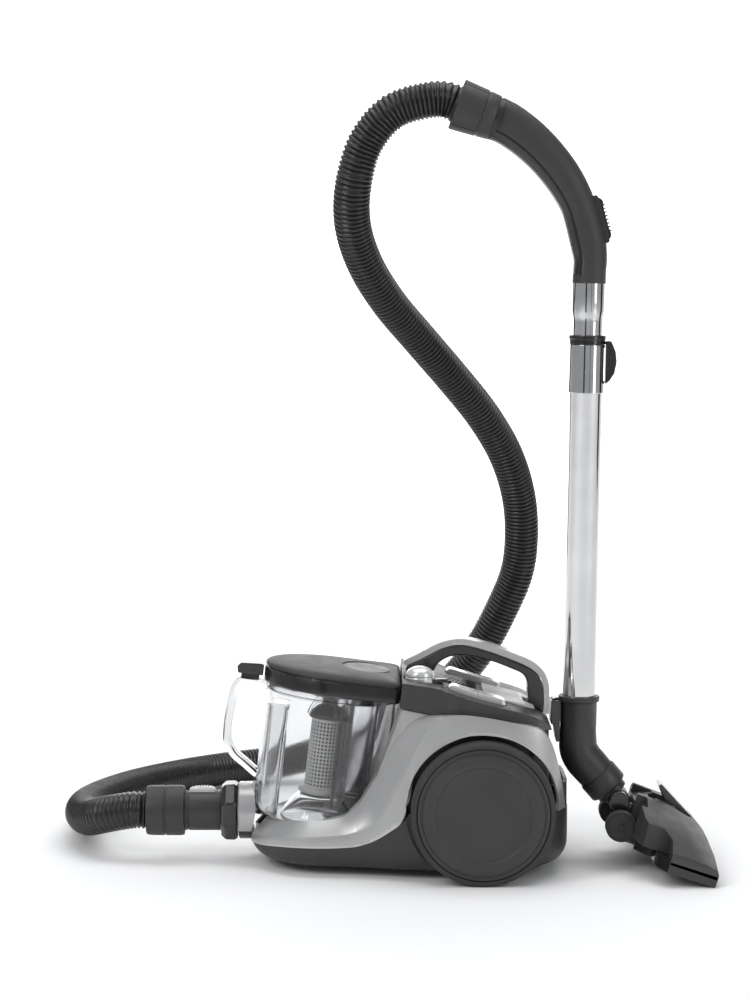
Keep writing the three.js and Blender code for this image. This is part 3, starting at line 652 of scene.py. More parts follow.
def base_tray():
    belly = make(loft([[(x, y, z) for x, y in plan(inset)] for z, inset in BELLY]))
    keep(belly, plate([(-160, 0), (-160, 26.4), (-131, 26.6), (-96.7, 30.2), (-63, 31.4), (-41, 31.6),
                       (-19, 34.5), (-1.4, 40.8), (16.1, 51.9), (24.8, 58.9), (33.1, 66), (36, 71.5),
                       (220, 71.5), (220, 0)], -125, 125))
    cut(belly, wheel_bay(1), wheel_bay(-1), moved(rod(27, 4, 33, 0.2), -84),
        block(185, 215, -52, 52, 52, 96), moved(rod(4.4, 30, 42, 0.1), -84))
    finish(belly, "tray_belly", CHARCOAL, "base_tray", bevel=1.0)
    add("underside_pad", block(50, 160, -60, 60, 8.5, 11), CHARCOAL, "base_tray", bevel=1.0)

    room = [(37, 14), (180, 14), (190, 26), (195, 98), (186, 151), (37, 151)]
    core = make(slab(plan(20), 30, 150))
    keep(core, plate([(34.2, 30), (34.2, 150), (190, 150), (199, 98), (195, 30)], -120, 120))
    hollow = make(plate(room, -110, 110))
    keep(hollow, prism(24))
    cut(core, hollow, wheel_bay(1), wheel_bay(-1), block(185, 215, -52, 52, 52, 96))
    finish(core, "tray_core", DARK, "base_tray", bevel=0.8)

    for end, side in SIDES:
        low, high = spread(side, 92, 108)
        liner = make(crosswise(pipe(82.5, 80.2, low, high, 0.1, 96), WHEEL_X, WHEEL_Z))
        keep(liner, prism(4))
        cut(liner, block(0, 220, low - 1, high + 1, -10, 60))
        finish(liner, f"arch_liner_{end}", DARK, "base_tray", bevel=0.3)

    deck = make(slab(plan(5), 30, 37))
    keep(deck, plate([(-128, 30), (-128, 37), (36, 37), (36, 30)], -120, 120))
    finish(deck, "tray_deck", DARK, "base_tray", bevel=0.6)

    boot = make(lengthwise(rod(30.5, -145.5, -122, 1.2, 64), 55))
    keep(boot, block(-150, -118, -40, 40, 20, 36.6))
    cut(boot, rod(72.4, 0, 190, 0.1, 96), place=BIN)
    finish(boot, "inlet_boot", GLOSS_BLACK, "base_tray", bevel=0.8)


# Stations of the silver side cover: (x, z, inset) of its inner edge, its crease and its lower edge.
COVER_INNER = [(-121, 50.3), (-97.3, 54.8), (-63.4, 58.1), (-45.7, 59.2)]
COVER_CREASE = [(-130.7, 35.6), (-96.7, 41.4), (-63.2, 43.2), (-45.7, 45)]
COVER_LOWER = [(-132, 26.6), (-96.7, 30.4), (-63.1, 31.6), (-45.7, 31.8)]


def height_on(line, x):
    for (x0, z0), (x1, z1) in zip(line, line[1:]):
        if x <= x1:
            return z0 + (z1 - z0) * (x - x0) / (x1 - x0)
    return line[-1][1]


def nose_station(degrees):
    a = math.radians(degrees)
    ring = [(NOSE_X - r * math.cos(a), r * math.sin(a)) for r in (NOSE_R - 16, NOSE_R - 1.5, NOSE_R - 0.3)]
    lines = (COVER_INNER, COVER_CREASE, COVER_LOWER)
    return [(x, y, height_on(line, x)) for (x, y), line in zip(ring, lines)]


def side_station(inner, crease, lower):
    return [(x, plan_y(x, inset), z) for x, z, inset in (inner, crease, lower)]


def on_arch(degrees):
    a = math.radians(degrees)
    return (WHEEL_X + (ARCH_R + 0.4) * math.cos(a), WHEEL_Z + (ARCH_R + 0.4) * math.sin(a), 0.4)


def cover_stations():
    rows = [nose_station(degrees) for degrees in (17.5, 34, 52, 70, 86)]
    rows += [side_station(*s) for s in (
        ((-30.2, 64.6, 16), (-30.1, 47, 1.5), (-30, 33.2, 0.3)),
        ((-14.7, 78.5, 16), (-14.6, 52.4, 1.5), (-19, 34.7, 0.3)),
        ((-5.9, 92.3, 16), (-1.4, 59.7, 1.5), (-1.4, 41, 0.3)),
        ((3, 108.4, 16), (16.1, 82.9, 1.5), (16.1, 52.1, 0.3)),
        ((11.7, 126.6, 16), (31.3, 112.3, 1.5), (26.5, 60.5, 0.3)),
        ((20.5, 142.6, 16), (40, 132.5, 1.5), on_arch(181)),
        ((35.8, 161.9, 15.5), (46.6, 145.9, 1.5), on_arch(168)),
        ((46.8, 170, 15), (59.6, 164.9, 1.6), on_arch(150)),
        ((57.7, 173.5, 14.5), (72.6, 174, 1.8), on_arch(132)),
        ((75, 174.5, 14), (90, 176, 2), on_arch(112)),
        ((99, 173, 13.4), (108, 174.6, 2), on_arch(95)),
        ((140, 167, 13), (142, 168, 2), on_arch(70)),
        ((174, 158.5, 11), (174, 158, 2), on_arch(48)),
        ((187, 138, 8), (188, 134, 2), on_arch(28)),
        ((196, 98, 5), (197, 98, 1.4), on_arch(10)),
        ((200, 71.6, 4), (201, 71.6, 1), on_arch(-2.4)),
    )]
    return rows


def cover_strip(side):
    """The cover's outer skin: a light band above its crease and a fuller face below it."""
    rows = cover_stations()
    lines = [spline([row[k] for row in rows], 7) for k in range(3)]
    points, faces = [], []
    band, face = 5, 9
    across = band + face + 1
    for inner, crease, lower in zip(*lines):
        i, c, o = Vector(inner), Vector(crease), Vector(lower)
        for k in range(band):
            t = k / band
            lift = 0.5 * 4 * t * (1 - t)
            points.append(i.lerp(c, t) + Vector((0, 0.7 * lift, 0.7 * lift)))
        outward = Vector((0, 1, 0)) if c.x > -60 else Vector((c.x - NOSE_X, c.y, 0)).normalized()
        for k in range(face + 1):
            t = k / face
            points.append(c.lerp(o, t) + outward * (0.4 * 4 * t * (1 - t)))
    for r in range(len(lines[0]) - 1):
        for k in range(across - 1):
            a = r * across + k
            faces.append((a, a + 1, a + across + 1, a + across))
    return [(p.x, p.y * side, p.z) for p in points], faces


def side_covers():
    for end, side in SIDES:
        cover = make(cover_strip(side), name="cover")
        solid = bmesh.new()
        solid.from_mesh(cover.data)
        solid.normal_update()
        middle = max(solid.faces, key=lambda f: f.calc_area())
        if middle.normal.y * side < 0:
            bmesh.ops.reverse_faces(solid, faces=solid.faces)
        solid.to_mesh(cover.data)
        solid.free()
        thick = cover.modifiers.new("wall", "SOLIDIFY")
        thick.thickness = 0.0026
        thick.offset = -1
        applied(cover)
        finish(cover, f"side_cover_{end}_skin", SILVER, f"side_cover_{end}", bevel=0.4, sharp=20)


def bin_cradle():
    outline = [(-60, 37.5), (33.6, 37.5), (33.6, 178), (29.5, 178.6), (3.4, 108.4), (-15, 78.5), (-30, 64.4),
               (-60, 58)]
    cradle = make(plate(outline, -120, 120))
    keep(cradle, prism(17.5))
    cut(cradle, rod(72.4, 6, 190, 0.1, 96), place=BIN)
    cut(cradle, lengthwise(rod(20, 20, 40, 0.1), 120))
    finish(cradle, "bin_cradle_shell", GREY, "bin_cradle", bevel=1.2)
    flank = [(30, 130), (40, 140), (64, 160), (64, 172.6), (29.5, 178.6), (28, 172)]
    for end, side in SIDES:
        skin = make(plate(flank, *spread(side, 60, 120)))
        keep(skin, prism(16.5))
        cut(skin, prism(19.5))
        finish(skin, f"bin_cradle_flank_{end}", GREY, "bin_cradle", bevel=0.5)


PANEL_TOP = [(29.3, 206.6), (50, 203.8), (68.5, 200.8), (76, 197.8), (95, 191.4), (112, 186.2),
             (126, 182.6), (140.7, 179.2), (154, 175.4), (165, 171.6), (178, 164), (186, 155.4)]
PANEL_FOOT = [(187, 152), (165.2, 157.7), (134.2, 163), (90.4, 168.7), (57.6, 174.9), (26.4, 180.2)]


def top_panel():
    outline = spline(PANEL_TOP, 5) + PANEL_FOOT
    panel = make(plate(outline, -120, 120))
    keep(panel, prism(14))
    room = make(plate([(37, 149), (37, 198)] + spline([(x, z - 3.4) for x, z in PANEL_TOP[1:]], 4)
                      + [(184, 149)], -120, 120))
    keep(room, prism(17.5))
    cut(panel, room)
    teardrop = spline([(30.4, -48), (36, -62), (48, -66.5), (62, -62), (76, -53), (64, -37), (48, -31),
                       (36, -35)], 6, True)
    cut(panel, slab(teardrop, 198.6, 230))
    cut(panel, moved(rod(16, 180, 220, 0.1, 64), 48, -48),
        *[block(77, 139, low, low + 22, 160, 215) for low in (-71, 49)],
        *[block(x, x + 2.4, -26, 26, 170, 205) for x in (80, 86, 92, 98, 104)])
    finish(panel, "top_panel_shell", CHARCOAL, "top_panel", bevel=1.1)
    well = spline([(66, -30), (80, -34), (110, -32), (116, -20), (116, 20), (110, 32), (80, 34), (66, 30)],
                  5, True)
    add("vent_floor", slab(well, 170, 184), DARK, "top_panel", bevel=0.5)
    for k, y in enumerate((-20, -10, 0, 10, 20)):
        fin = [(76, 197.2), (90, 195), (112, 187.2), (112, 184.8), (90, 191), (76, 193)]
        ridge = moved(plate(spline(fin, 4, True), -1.5, 1.5), 0, y, 1.4)
        add(f"vent_fin_{k}", ridge, GLOSS_BLACK, "top_panel", bevel=0.6)


def deck_cover():
    top = spline([(116, 186.9), (136, 182.2), (154, 177.6), (163, 174.8), (169, 172.2)], 5)
    under = [(171, 168.6), (169, 169.4), (154, 174.4), (136, 179), (116, 183.6)]
    deck = make(plate(top + under, -46, 46))
    rounded = spline([(116, -46), (140, -45), (158, -40), (168, -30), (171.5, -14), (171.5, 14), (168, 30),
                      (158, 40), (140, 45), (116, 46), (113, 20), (113, -20)], 5, True)
    keep(deck, slab(rounded, 150, 200))
    cut(deck, block(159, 200, -15, 15, 150, 200))
    finish(deck, "deck_cover_shell", PALE_GREY, "deck_cover", bevel=0.9)


# ---- pedals, buttons and carry handle
def pedals():
    for node, side in (("power_pedal", -1), ("rewind_pedal", 1)):
        top = spline([(78, 198.6), (82, 201), (95, 197.4), (112, 192.6), (128, 188.2), (136, 185.4)], 5)
        pedal = make(plate(top + [(138, 181), (138, 174), (78, 190)], *spread(side, 50, 70)))
        ends = [(78, 51), (81, 50), (134, 50), (138, 54), (138, 66), (134, 70), (81, 70), (78, 69)]
        keep(pedal, slab([(x, y * side) for x, y in ends], 160, 220))
        groove = [(84, 55), (132, 55), (132, 55.8), (84, 55.8)]
        cut(pedal, moved(turned_to(slab([(x - 108, y * side) for x, y in groove], -0.8, 3),
                                   Matrix.Rotation(math.radians(15.4), 4, "Y")), 108, 0, 194))
        finish(pedal, f"{node}_cap", BRIGHT_SILVER, node, bevel=2.0)
        add(f"{node}_stem", block(100, 112, *spread(side, 55, 65), 166, 186), DARK, node, bevel=0.5)


def lock_button():
    dome = [(0.01, 195), (15, 195), (15, 206.4), (14.4, 207), (14.4, 207.8), (15, 208.4)]
    dome += arc(0, 209, 15, 0, 88, 12)[1:]
    dome = [(r, 209 + (h - 209) * 0.66 if h > 209 else h) for r, h in dome]
    add("lock_button_dome", moved(lathe(dome, 72), 48, -48), BRIGHT_SILVER, "bin_lock_button", bevel=0.3)
    ear = spline([(56, -58), (68, -53), (78, -50), (76, -47), (66, -43), (58, -42)], 5, True)
    tail = cut(make(slab(ear, 201.2, 205.2)), moved(rod(16, 195, 215, 0.1), 48, -48))
    finish(tail, "lock_button_tail", GLOSS_BLACK, "top_panel", bevel=0.8)


STRAP_OUT = [(31, 219), (46.6, 226.6), (68.6, 238), (84, 242), (96.4, 242.3), (117.3, 237.4), (148.4, 227.1),
             (170, 217.5), (181, 207), (185.8, 196), (187, 182), (186.5, 161.5)]
STRAP_IN = [(180.5, 162), (181.2, 182), (179.8, 194.5), (175.6, 203.5), (167, 210.8), (146, 220.6),
            (115.5, 231.2), (96, 236), (85, 235.8), (71, 232), (49, 220.6), (33, 213.5)]
CORE_OUT = [(33.5, 213.1), (49.2, 220.1), (71.2, 231.5), (85, 235.3), (96, 235.5), (115.4, 230.7),
            (145.8, 220.1), (166.6, 210.3), (175.2, 203), (179.3, 194.3), (180.7, 182), (180, 163)]
CORE_IN = [(165, 171.5), (163.5, 185), (162.6, 197), (158, 204.6), (145.8, 210.5), (122.4, 219.3),
           (96.5, 224.5), (80, 223.2), (68, 216), (61, 206), (48, 203), (34, 205.5)]


def carry_handle():
    strap = make(plate(spline(STRAP_OUT, 6) + spline(STRAP_IN, 6), -13, 13))
    for side in (-1, 1):
        groove = [(x, z - 0.9) for x, z in STRAP_OUT] + [(x, z + 2) for x, z in reversed(STRAP_OUT)]
        cut(strap, plate(groove, *spread(side, 8.2, 9.2)))
    finish(strap, "handle_strap_shell", SILVER, "handle_strap", bevel=1.6)
    core = plate(spline(CORE_OUT, 6) + spline(CORE_IN, 6), -14, 14)
    add("handle_core_shell", core, GLOSS_BLACK, "handle_core", bevel=2.4)


# ---- wheels
WHEEL_FACE = [(5.4, 107), (14, 107), (16, 118), (56, 120), (60, 108), (68, 107), (69.2, 108.4), (69.2, 131.4),
              (68.4, 132.6), (65.6, 133.4), (64.8, 132.6), (64, 132.5), (63.2, 133.6), (56, 134.4),
              (51.5, 134.5), (50.4, 133.9), (49.4, 132.9), (47, 132.6), (30, 132.9), (12, 133), (0.01, 133)]
TYRE = [(69.4, 106), (73.4, 106), (74.6, 106.8), (75, 108.4), (75, 129.5), (74.4, 131.6), (72.8, 133.4),
        (70.2, 134), (69.4, 133.4), (69.4, 106)]


def wheels():
    for end, side in SIDES:
        out = ALONG_Y if side > 0 else Matrix.Rotation(math.radians(90), 4, "X")
        place = Matrix.Translation((WHEEL_X, 0, WHEEL_Z)) @ out
        add(f"wheel_{end}_disc", lathe(WHEEL_FACE, 128), SATIN, f"wheel_{end}", place, bevel=0.25)
        tyre = lathe(TYRE, 144)
        add(f"tyre_{end}_tread", tyre, RUBBER, f"tyre_{end}", place, bevel=0.2)
        dress(f"axle_{end}", STEEL, 0.3)
        recess = pipe(66, 62, 100.5, 104.5)
        add(f"wheel_{end}_seal", recess, RUBBER, "base_tray", place, body="root",
            bevel=0.4)


# ---- dust bin, lid and cyclone
LOOP_LINE = [(-66, 0, 145), (-78, 0, 147.6), (-90, 0, 148.8), (-98.8, 0, 146.8), (-103.6, 0, 138),
             (-105.6, 0, 120), (-106.6, 0, 100), (-104.6, 0, 82), (-96.5, 0, 69), (-82, 0, 58.6),
             (-67, 0, 48)]


def dust_bin():
    wall = [(0.01, 7)] + [(54 + 16 * math.sin(a), 23 - 16 * math.cos(a))
                          for a in (math.radians(10 * i) for i in range(10))]
    inner = [(54 + 13.5 * math.sin(a), 23 - 13.5 * math.cos(a))
             for a in (math.radians(90 - 10 * i) for i in range(10))]
    bowl = wall + [(70, 146), (70.8, 147), (70.8, 151), (70, 152), (67.5, 152)] + inner + [(0.01, 9.5)]
    shell = make(lathe(bowl, 112), BIN)
    cut(shell, turned_to(rod(12, -90, -50, 0.1), ALONG_X @ Matrix.Translation((-25.6, 0, 0))), place=BIN)
    finish(shell, "bin_shell", CLEAR, "dust_bin", bevel=0.3)
    path = spline(LOOP_LINE, 8)
    loop = make(swept(path, [(4.9, 9.6)] * len(path), 36, 0.62), BIN)
    cut(loop, rod(69.6, -5, 200, 0.1, 112), place=BIN)
    finish(loop, "bin_loop_handle", LOOP, "dust_bin", bevel=0)
    duct = make(slab(spline([(-68, -19), (-50, -19.6), (-44, -15), (-42.6, 0), (-44, 15), (-50, 19.6),
                             (-68, 19)], 5), 9, 130), BIN)
    cut(duct, slab(spline([(-72, -17), (-51, -17.6), (-46.2, -14), (-45, 0), (-46.2, 14), (-51, 17.6),
                           (-72, 17)], 5), 11.5, 127.6), place=BIN)
    keep(duct, rod(67.3, 0, 200, 0.1, 112), place=BIN)
    cut(duct, block(-50, -38, -15, 15, 96, 124), place=BIN)
    finish(duct, "bin_inlet_duct", CLEAR, "dust_bin", bevel=0.5)
    button = make(plate([(-102, 156.4), (-103.6, 163.5), (-100, 167.6), (-78, 169), (-75.2, 168),
                         (-75.2, 156.4)], -9.4, 9.4), BIN)
    cut(button, block(-100, -77.4, -7.8, 7.8, 150, 161.4), place=BIN)
    finish(button, "bin_button_cap", GLOSS_BLACK, "bin_button", bevel=1.2)
    add("bin_button_socket", block(-98.4, -79, -6.6, 6.6, 150, 158.4), DARK, "dust_bin", BIN,
        bevel=0.6)


def lid_plan(inset):
    points = arc(0, 0, 74 - inset, 90, 270, 40)
    corner = 5.0
    right, wide = 71.4 - inset, 74 - inset
    return points + [(right - corner, -wide)] + arc(right - corner, -wide + corner, corner, -90, 0, 4)[1:] \
        + arc(right - corner, wide - corner, corner, 0, 90, 4)


def lid_oval(long, wide):
    """The plain oval in the lid's top."""
    turns = [2 * math.pi * i / 64 for i in range(64)]
    return [(long * math.cos(a) + 34, wide * math.sin(a)) for a in turns]


LID_SIDE = [(152.5, 3.0), (152.9, 0.8), (153.8, 0.0), (167.6, 0.0), (168.4, 0.4), (168.8, 1.8), (169.9, 1.8),
            (170.3, 0.4)]
LID_CROWN = [(170.3, 0.4), (172.4, 0.6), (174.0, 2.2), (175.2, 5.5), (176.4, 12), (177.5, 24), (178.2, 40),
             (178.5, 58)]


def lid():
    lower = make(loft([[(x, y, h) for x, y in lid_plan(i)] for h, i in LID_SIDE]), BIN)
    cut(lower, slab(lid_plan(13), 150, 167), place=BIN)
    finish(lower, "lid_band", GLOSS_BLACK, "bin_lid", bevel=0.3)
    crown = make(loft([[(x, y, h) for x, y in lid_plan(i)] for h, i in LID_CROWN]), BIN)
    cut(crown, slab(lid_oval(26, 34), 176.9, 190), place=BIN)
    finish(crown, "lid_crown", LID_GREY, "bin_lid", bevel=0.5, sharp=40)
    add("lid_inlay", slab(lid_oval(24.6, 32.6), 176.2, 177.5), CHARCOAL, "bin_lid", BIN, bevel=0.4)
    for k, (start, stop) in enumerate(((212, 228), (238, 252), (262, 274))):
        slot_band = arc(0, 0, 74.35, start, stop, 12) + arc(0, 0, 72, stop, start, 12)
        add(f"lid_slot_{k}", slab(slot_band, 166.4, 168.6), DARK, "bin_lid", BIN, bevel=0.3)
    add("lid_collar", pipe(67.1, 62, 144, 153.4, 0.6, 96), SMOKE, "bin_lid", BIN, bevel=0.2)


def perforated(radius, low, high, columns, rows, hole):
    """A sheet rolled into a cylinder, with square holes."""
    ticks = []
    for k in range(columns):
        ticks += [k / columns, (k + hole) / columns]
    levels = [low]
    pitch = (high - low - 4) / rows
    for k in range(rows):
        levels += [low + 2 + pitch * (k + 0.5 - hole / 2), low + 2 + pitch * (k + 0.5 + hole / 2)]
    levels.append(high)
    points = [(radius * math.cos(2 * math.pi * t), radius * math.sin(2 * math.pi * t), h)
              for h in levels for t in ticks]
    n = len(ticks)
    faces = [(r * n + c, r * n + (c + 1) % n, (r + 1) * n + (c + 1) % n, (r + 1) * n + c)
             for r in range(len(levels) - 1) for c in range(n) if not (r % 2 and c % 2 == 0)]
    return points, faces


def cyclone():
    shroud = make(perforated(17.6, 42.6, 118, 28, 18, 0.58), BIN)
    wall = shroud.modifiers.new("wall", "SOLIDIFY")
    wall.thickness = 0.0012
    wall.offset = -1
    applied(shroud)
    finish(shroud, "shroud_sheet", PALE_GREY, "cyclone_shroud", bevel=0)
    add("shroud_core", pipe(15.2, 12.6, 44, 117), DARK, "cyclone_shroud", BIN)
    ring = [(12, 37), (22.4, 37), (23.2, 38), (23.2, 41), (21.4, 43.4), (12, 43.4), (12, 37)]
    add("shroud_ring", lathe(ring, 80), PALE_GREY, "cyclone_shroud", BIN, bevel=0.3)
    cap = [(0.01, 118.4), (20.6, 118.4), (21.2, 119.2), (21.2, 123), (19.6, 124.6), (13, 131.4), (9, 132.6),
           (9, 152.2), (0.01, 152.2)]
    add("shroud_cap_top", lathe(cap, 72), DARK, "shroud_cap", BIN, bevel=0.5)
    add("shroud_bar", block(-58, 58, -4, 4, 152.6, 156), DARK, "shroud_cap", BIN, bevel=0.8)
    struts = both(*[turned_to(plate(spline([(10, 146), (22, 130), (24, 122), (21.6, 122), (19.6, 129),
                                            (9, 141)], 4, True), -1.4, 1.4),
                              Matrix.Rotation(math.radians(a), 4, "Z")) for a in (20, 110, 200, 290)])
    add("shroud_struts", struts, CLEAR, "shroud_cap", BIN, bevel=0.3)
    skirt = spline([(12, 36.6), (22, 35.8), (30, 27), (36, 18.6), (39.4, 12)], 5)
    skirt += spline([(37.4, 11.4), (33.6, 18), (27.6, 26), (20.6, 33.2), (12, 34)], 5)
    add("cyclone_flare", lathe(skirt + [skirt[0]], 80), CLEAR, "cyclone_skirt", BIN,
        bevel=0.2)
    cone = [(10.6, 42), (13, 42), (17, 64), (18, 100), (18.2, 140), (19.4, 142), (19.4, 150), (16, 150),
            (15.6, 138), (14.6, 64), (10.6, 42)]
    for end, side in SIDES:
        add(f"cyclone_cone_{end}", moved(lathe(cone, 64), 34, 21 * side), SMOKE, f"cyclone_tube_{end}", BIN,
            bevel=0.3)
    vane = spline([(12, -50), (14, -36), (20, -20), (23, 0), (20, 20), (14, 36), (12, 50),
                   (14.4, 50), (17, 36), (23, 20), (26, 0), (23, -20), (17, -36), (14.4, -50)], 4, True)
    add("cyclone_divider", slab(vane, 30, 140), SMOKE, "dust_bin", BIN, bevel=0.4)


# ---- hose inlet
def inlet():
    neck = make(lengthwise(pipe(31, 16, -146, -122, 1.4, 96), 55))
    cut(neck, rod(72.4, -10, 190, 0.1, 96), place=BIN)
    cut(neck, block(-150, -118, -40, 40, 20, 36.8), block(-139, -137.8, -40, 40, 84.6, 90))
    finish(neck, "inlet_neck_shell", SILVER, "inlet_neck", bevel=1.2)
    collar = [(16, -164.6), (27.4, -165), (32.4, -160), (32.8, -150.4), (30.6, -146.6), (16, -146.6),
              (16, -164.6)]
    add("inlet_collar_shell", lathe(collar, 8, math.pi / 8), GLOSS_BLACK, "inlet_collar", INLET, bevel=1.8)
    body = [(16, -206), (20.9, -206), (21.5, -205), (21.5, -202), (20.8, -201), (20.8, -199.6), (21.5, -199),
            (21.5, -166), (21, -164), (16, -164), (16, -206)]
    add("hose_connector_shell", lathe(body, 80), CHARCOAL, "hose_connector", INLET, bevel=0.4)
    tab = make(moved(plate(spline([(-199, 20.4), (-199, 22.6), (-196, 24.6), (-185, 26), (-174, 25),
                                   (-171, 22.6), (-171, 20.4)], 4), -6, 6), 0, 0, 55))
    cut(tab, *[block(x, x + 1.2, -8, 8, 79.6, 83) for x in (-194, -191, -188, -185, -182, -179)])
    finish(tab, "connector_tab_cap", PALE_GREY, "connector_tab", bevel=0.5)
    sleeve = [(17.5, -245), (25, -245), (26.2, -244), (26.8, -240), (27, -226), (26.2, -225.4), (26.2, -224),
              (27, -223.4), (27, -208), (26.2, -204.4), (22.1, -204), (22.1, -207.4), (17.5, -207.4),
              (17.5, -245)]
    sleeve_obj = make(lathe(sleeve, 96), INLET)
    cut(sleeve_obj, *[block(-243, -206, y, y + 0.9, 78.4, 84) for y in (-7, 6)])
    finish(sleeve_obj, "inlet_sleeve_shell", SATIN, "inlet_sleeve", bevel=0.4)


# ---- wand
def wand():
    tube = [(16.3, 150.5), (17.5, 150.5), (17.5, 504), (17.9, 506), (18, 511), (16.3, 511), (16.3, 150.5)]
    add("wand_tube_drawn", lathe(tube, 96), CHROME, "wand_tube", WAND, bevel=0.2)
    sleeve = make(pipe(18.9, 17.9, 504.6, 556, 0.5, 96), WAND)
    cut(sleeve, block(8, 30, -7.5, 7.5, 518, 553), place=WAND)
    finish(sleeve, "wand_sleeve_metal", CHROME, "wand_sleeve", bevel=0.3)
    ring = [(16.2, 556.4), (19.2, 556.4), (19.2, 561.4), (19.9, 562), (19.9, 565.2), (19.2, 566), (16.2, 566),
            (16.2, 556.4)]
    add("wand_ring", lathe(ring, 96), GLOSS_BLACK, "wand_sleeve", WAND, bevel=0.4)
    button = [(19.2, 514), (24, 518), (29, 526), (31.2, 538), (30, 549), (25, 560.4), (19.2, 560.4)]
    add("telescope_button_cap", plate(button, -9, 9), GLOSS_BLACK, "telescope_button", WAND, bevel=1.6)
    inner = [(14.6, 190), (15.8, 190), (15.8, 580), (16.4, 586), (17.5, 592), (17.5, 621), (14.6, 621),
             (14.6, 190)]
    add("inner_tube_drawn", lathe(inner, 96), CHROME, "inner_tube", WAND, bevel=0.2)

    socket = [(15.2, 145.5), (19.1, 145.5), (19.5, 148), (19.5, 172), (20.2, 173.6), (22, 174.4), (22.2, 179),
              (21.6, 180), (17.8, 180), (17.8, 150.2), (15.2, 150.2), (15.2, 145.5)]
    elbow = spline([(218.9, 0, 150), (218.6, 0, 134), (219.3, 0, 122), (224, 0, 112), (230.5, 0, 104.3),
                    (236, 0, 98), (240.4, 0, 93)], 8)
    hook = both(block(190.5, 193.4, -9.6, 9.6, 152, 178), block(193, 200.4, -4.6, 4.6, 152, 178))
    socket_row = turned_to(lathe(socket, 96), WAND)
    bend = swept(elbow, [(19.2 + 1.3 * math.sin(math.pi * i / len(elbow)) + 0.8 * i / len(elbow),) * 2
                         for i in range(len(elbow))], 64)
    add("wand_neck_socket", socket_row, CHARCOAL, "wand_neck", bevel=0.4)
    add("wand_neck_bend", bend, CHARCOAL, "wand_neck", bevel=0.6)
    add("wand_park_hook", hook, GLOSS_BLACK, "wand_neck", bevel=0.8)
    swivel = [(20.8, 2), (21.5, 2.2), (21.9, 3.2), (21.9, 20.4), (21, 22), (17, 23.4), (17, 29.4), (14.2, 30),
              (14.2, 5), (20.8, 5), (20.8, 2)]
    add("neck_swivel_ring", lathe(swivel, 96), CHARCOAL, "neck_swivel", NECK, bevel=0.4)
    barrel = crosswise(pipe(12, 3.4, -17, 17, 1.2), 0, 36.2)
    add("neck_hinge_barrel", barrel, DARK, "neck_swivel", NECK, bevel=0.3)


# ---- floor head
HEAD_PLAN = [(0, -135), (0, 135), (-52, 135), (-62, 120), (-64, 74), (-84, 60), (-104, 60), (-104, -60),
             (-84, -60), (-64, -74), (-62, -120), (-52, -135)]
# Outlines of the cover in X and Z at these distances from the middle; its cheeks fall away in facets.
HEAD_SECTIONS = {
    0: [(1, 12.4), (1.4, 17), (-6.8, 31.9), (-25.9, 43.5), (-55.7, 51.5), (-92, 54), (-92, 12.4)],
    36: [(1, 12.4), (1.4, 17), (-6.8, 31), (-25, 43), (-54, 51.5), (-91, 53.6), (-91, 12.4)],
    90: [(1, 12.4), (1.2, 17), (-2.8, 24), (-15, 30), (-38, 39), (-84, 40), (-82, 12.4)],
    112: [(0.6, 12.2), (0.8, 16), (-3, 21), (-14, 25), (-34, 31), (-72, 31), (-70, 12.2)],
    135: [(0, 8), (0, 14), (-3, 18), (-14, 20), (-33, 21.4), (-56, 21), (-58, 9)],
}
HINGE_X, HINGE_Z = -106.3, 37.7
HEAD_WHEEL_X, HEAD_WHEEL_Z, HEAD_WHEEL_Y = -99.5, 16.8, 45


def pockets():
    return [block(-118, -81, *spread(side, HEAD_WHEEL_Y - 10, 61), -5, 60) for side in (-1, 1)]


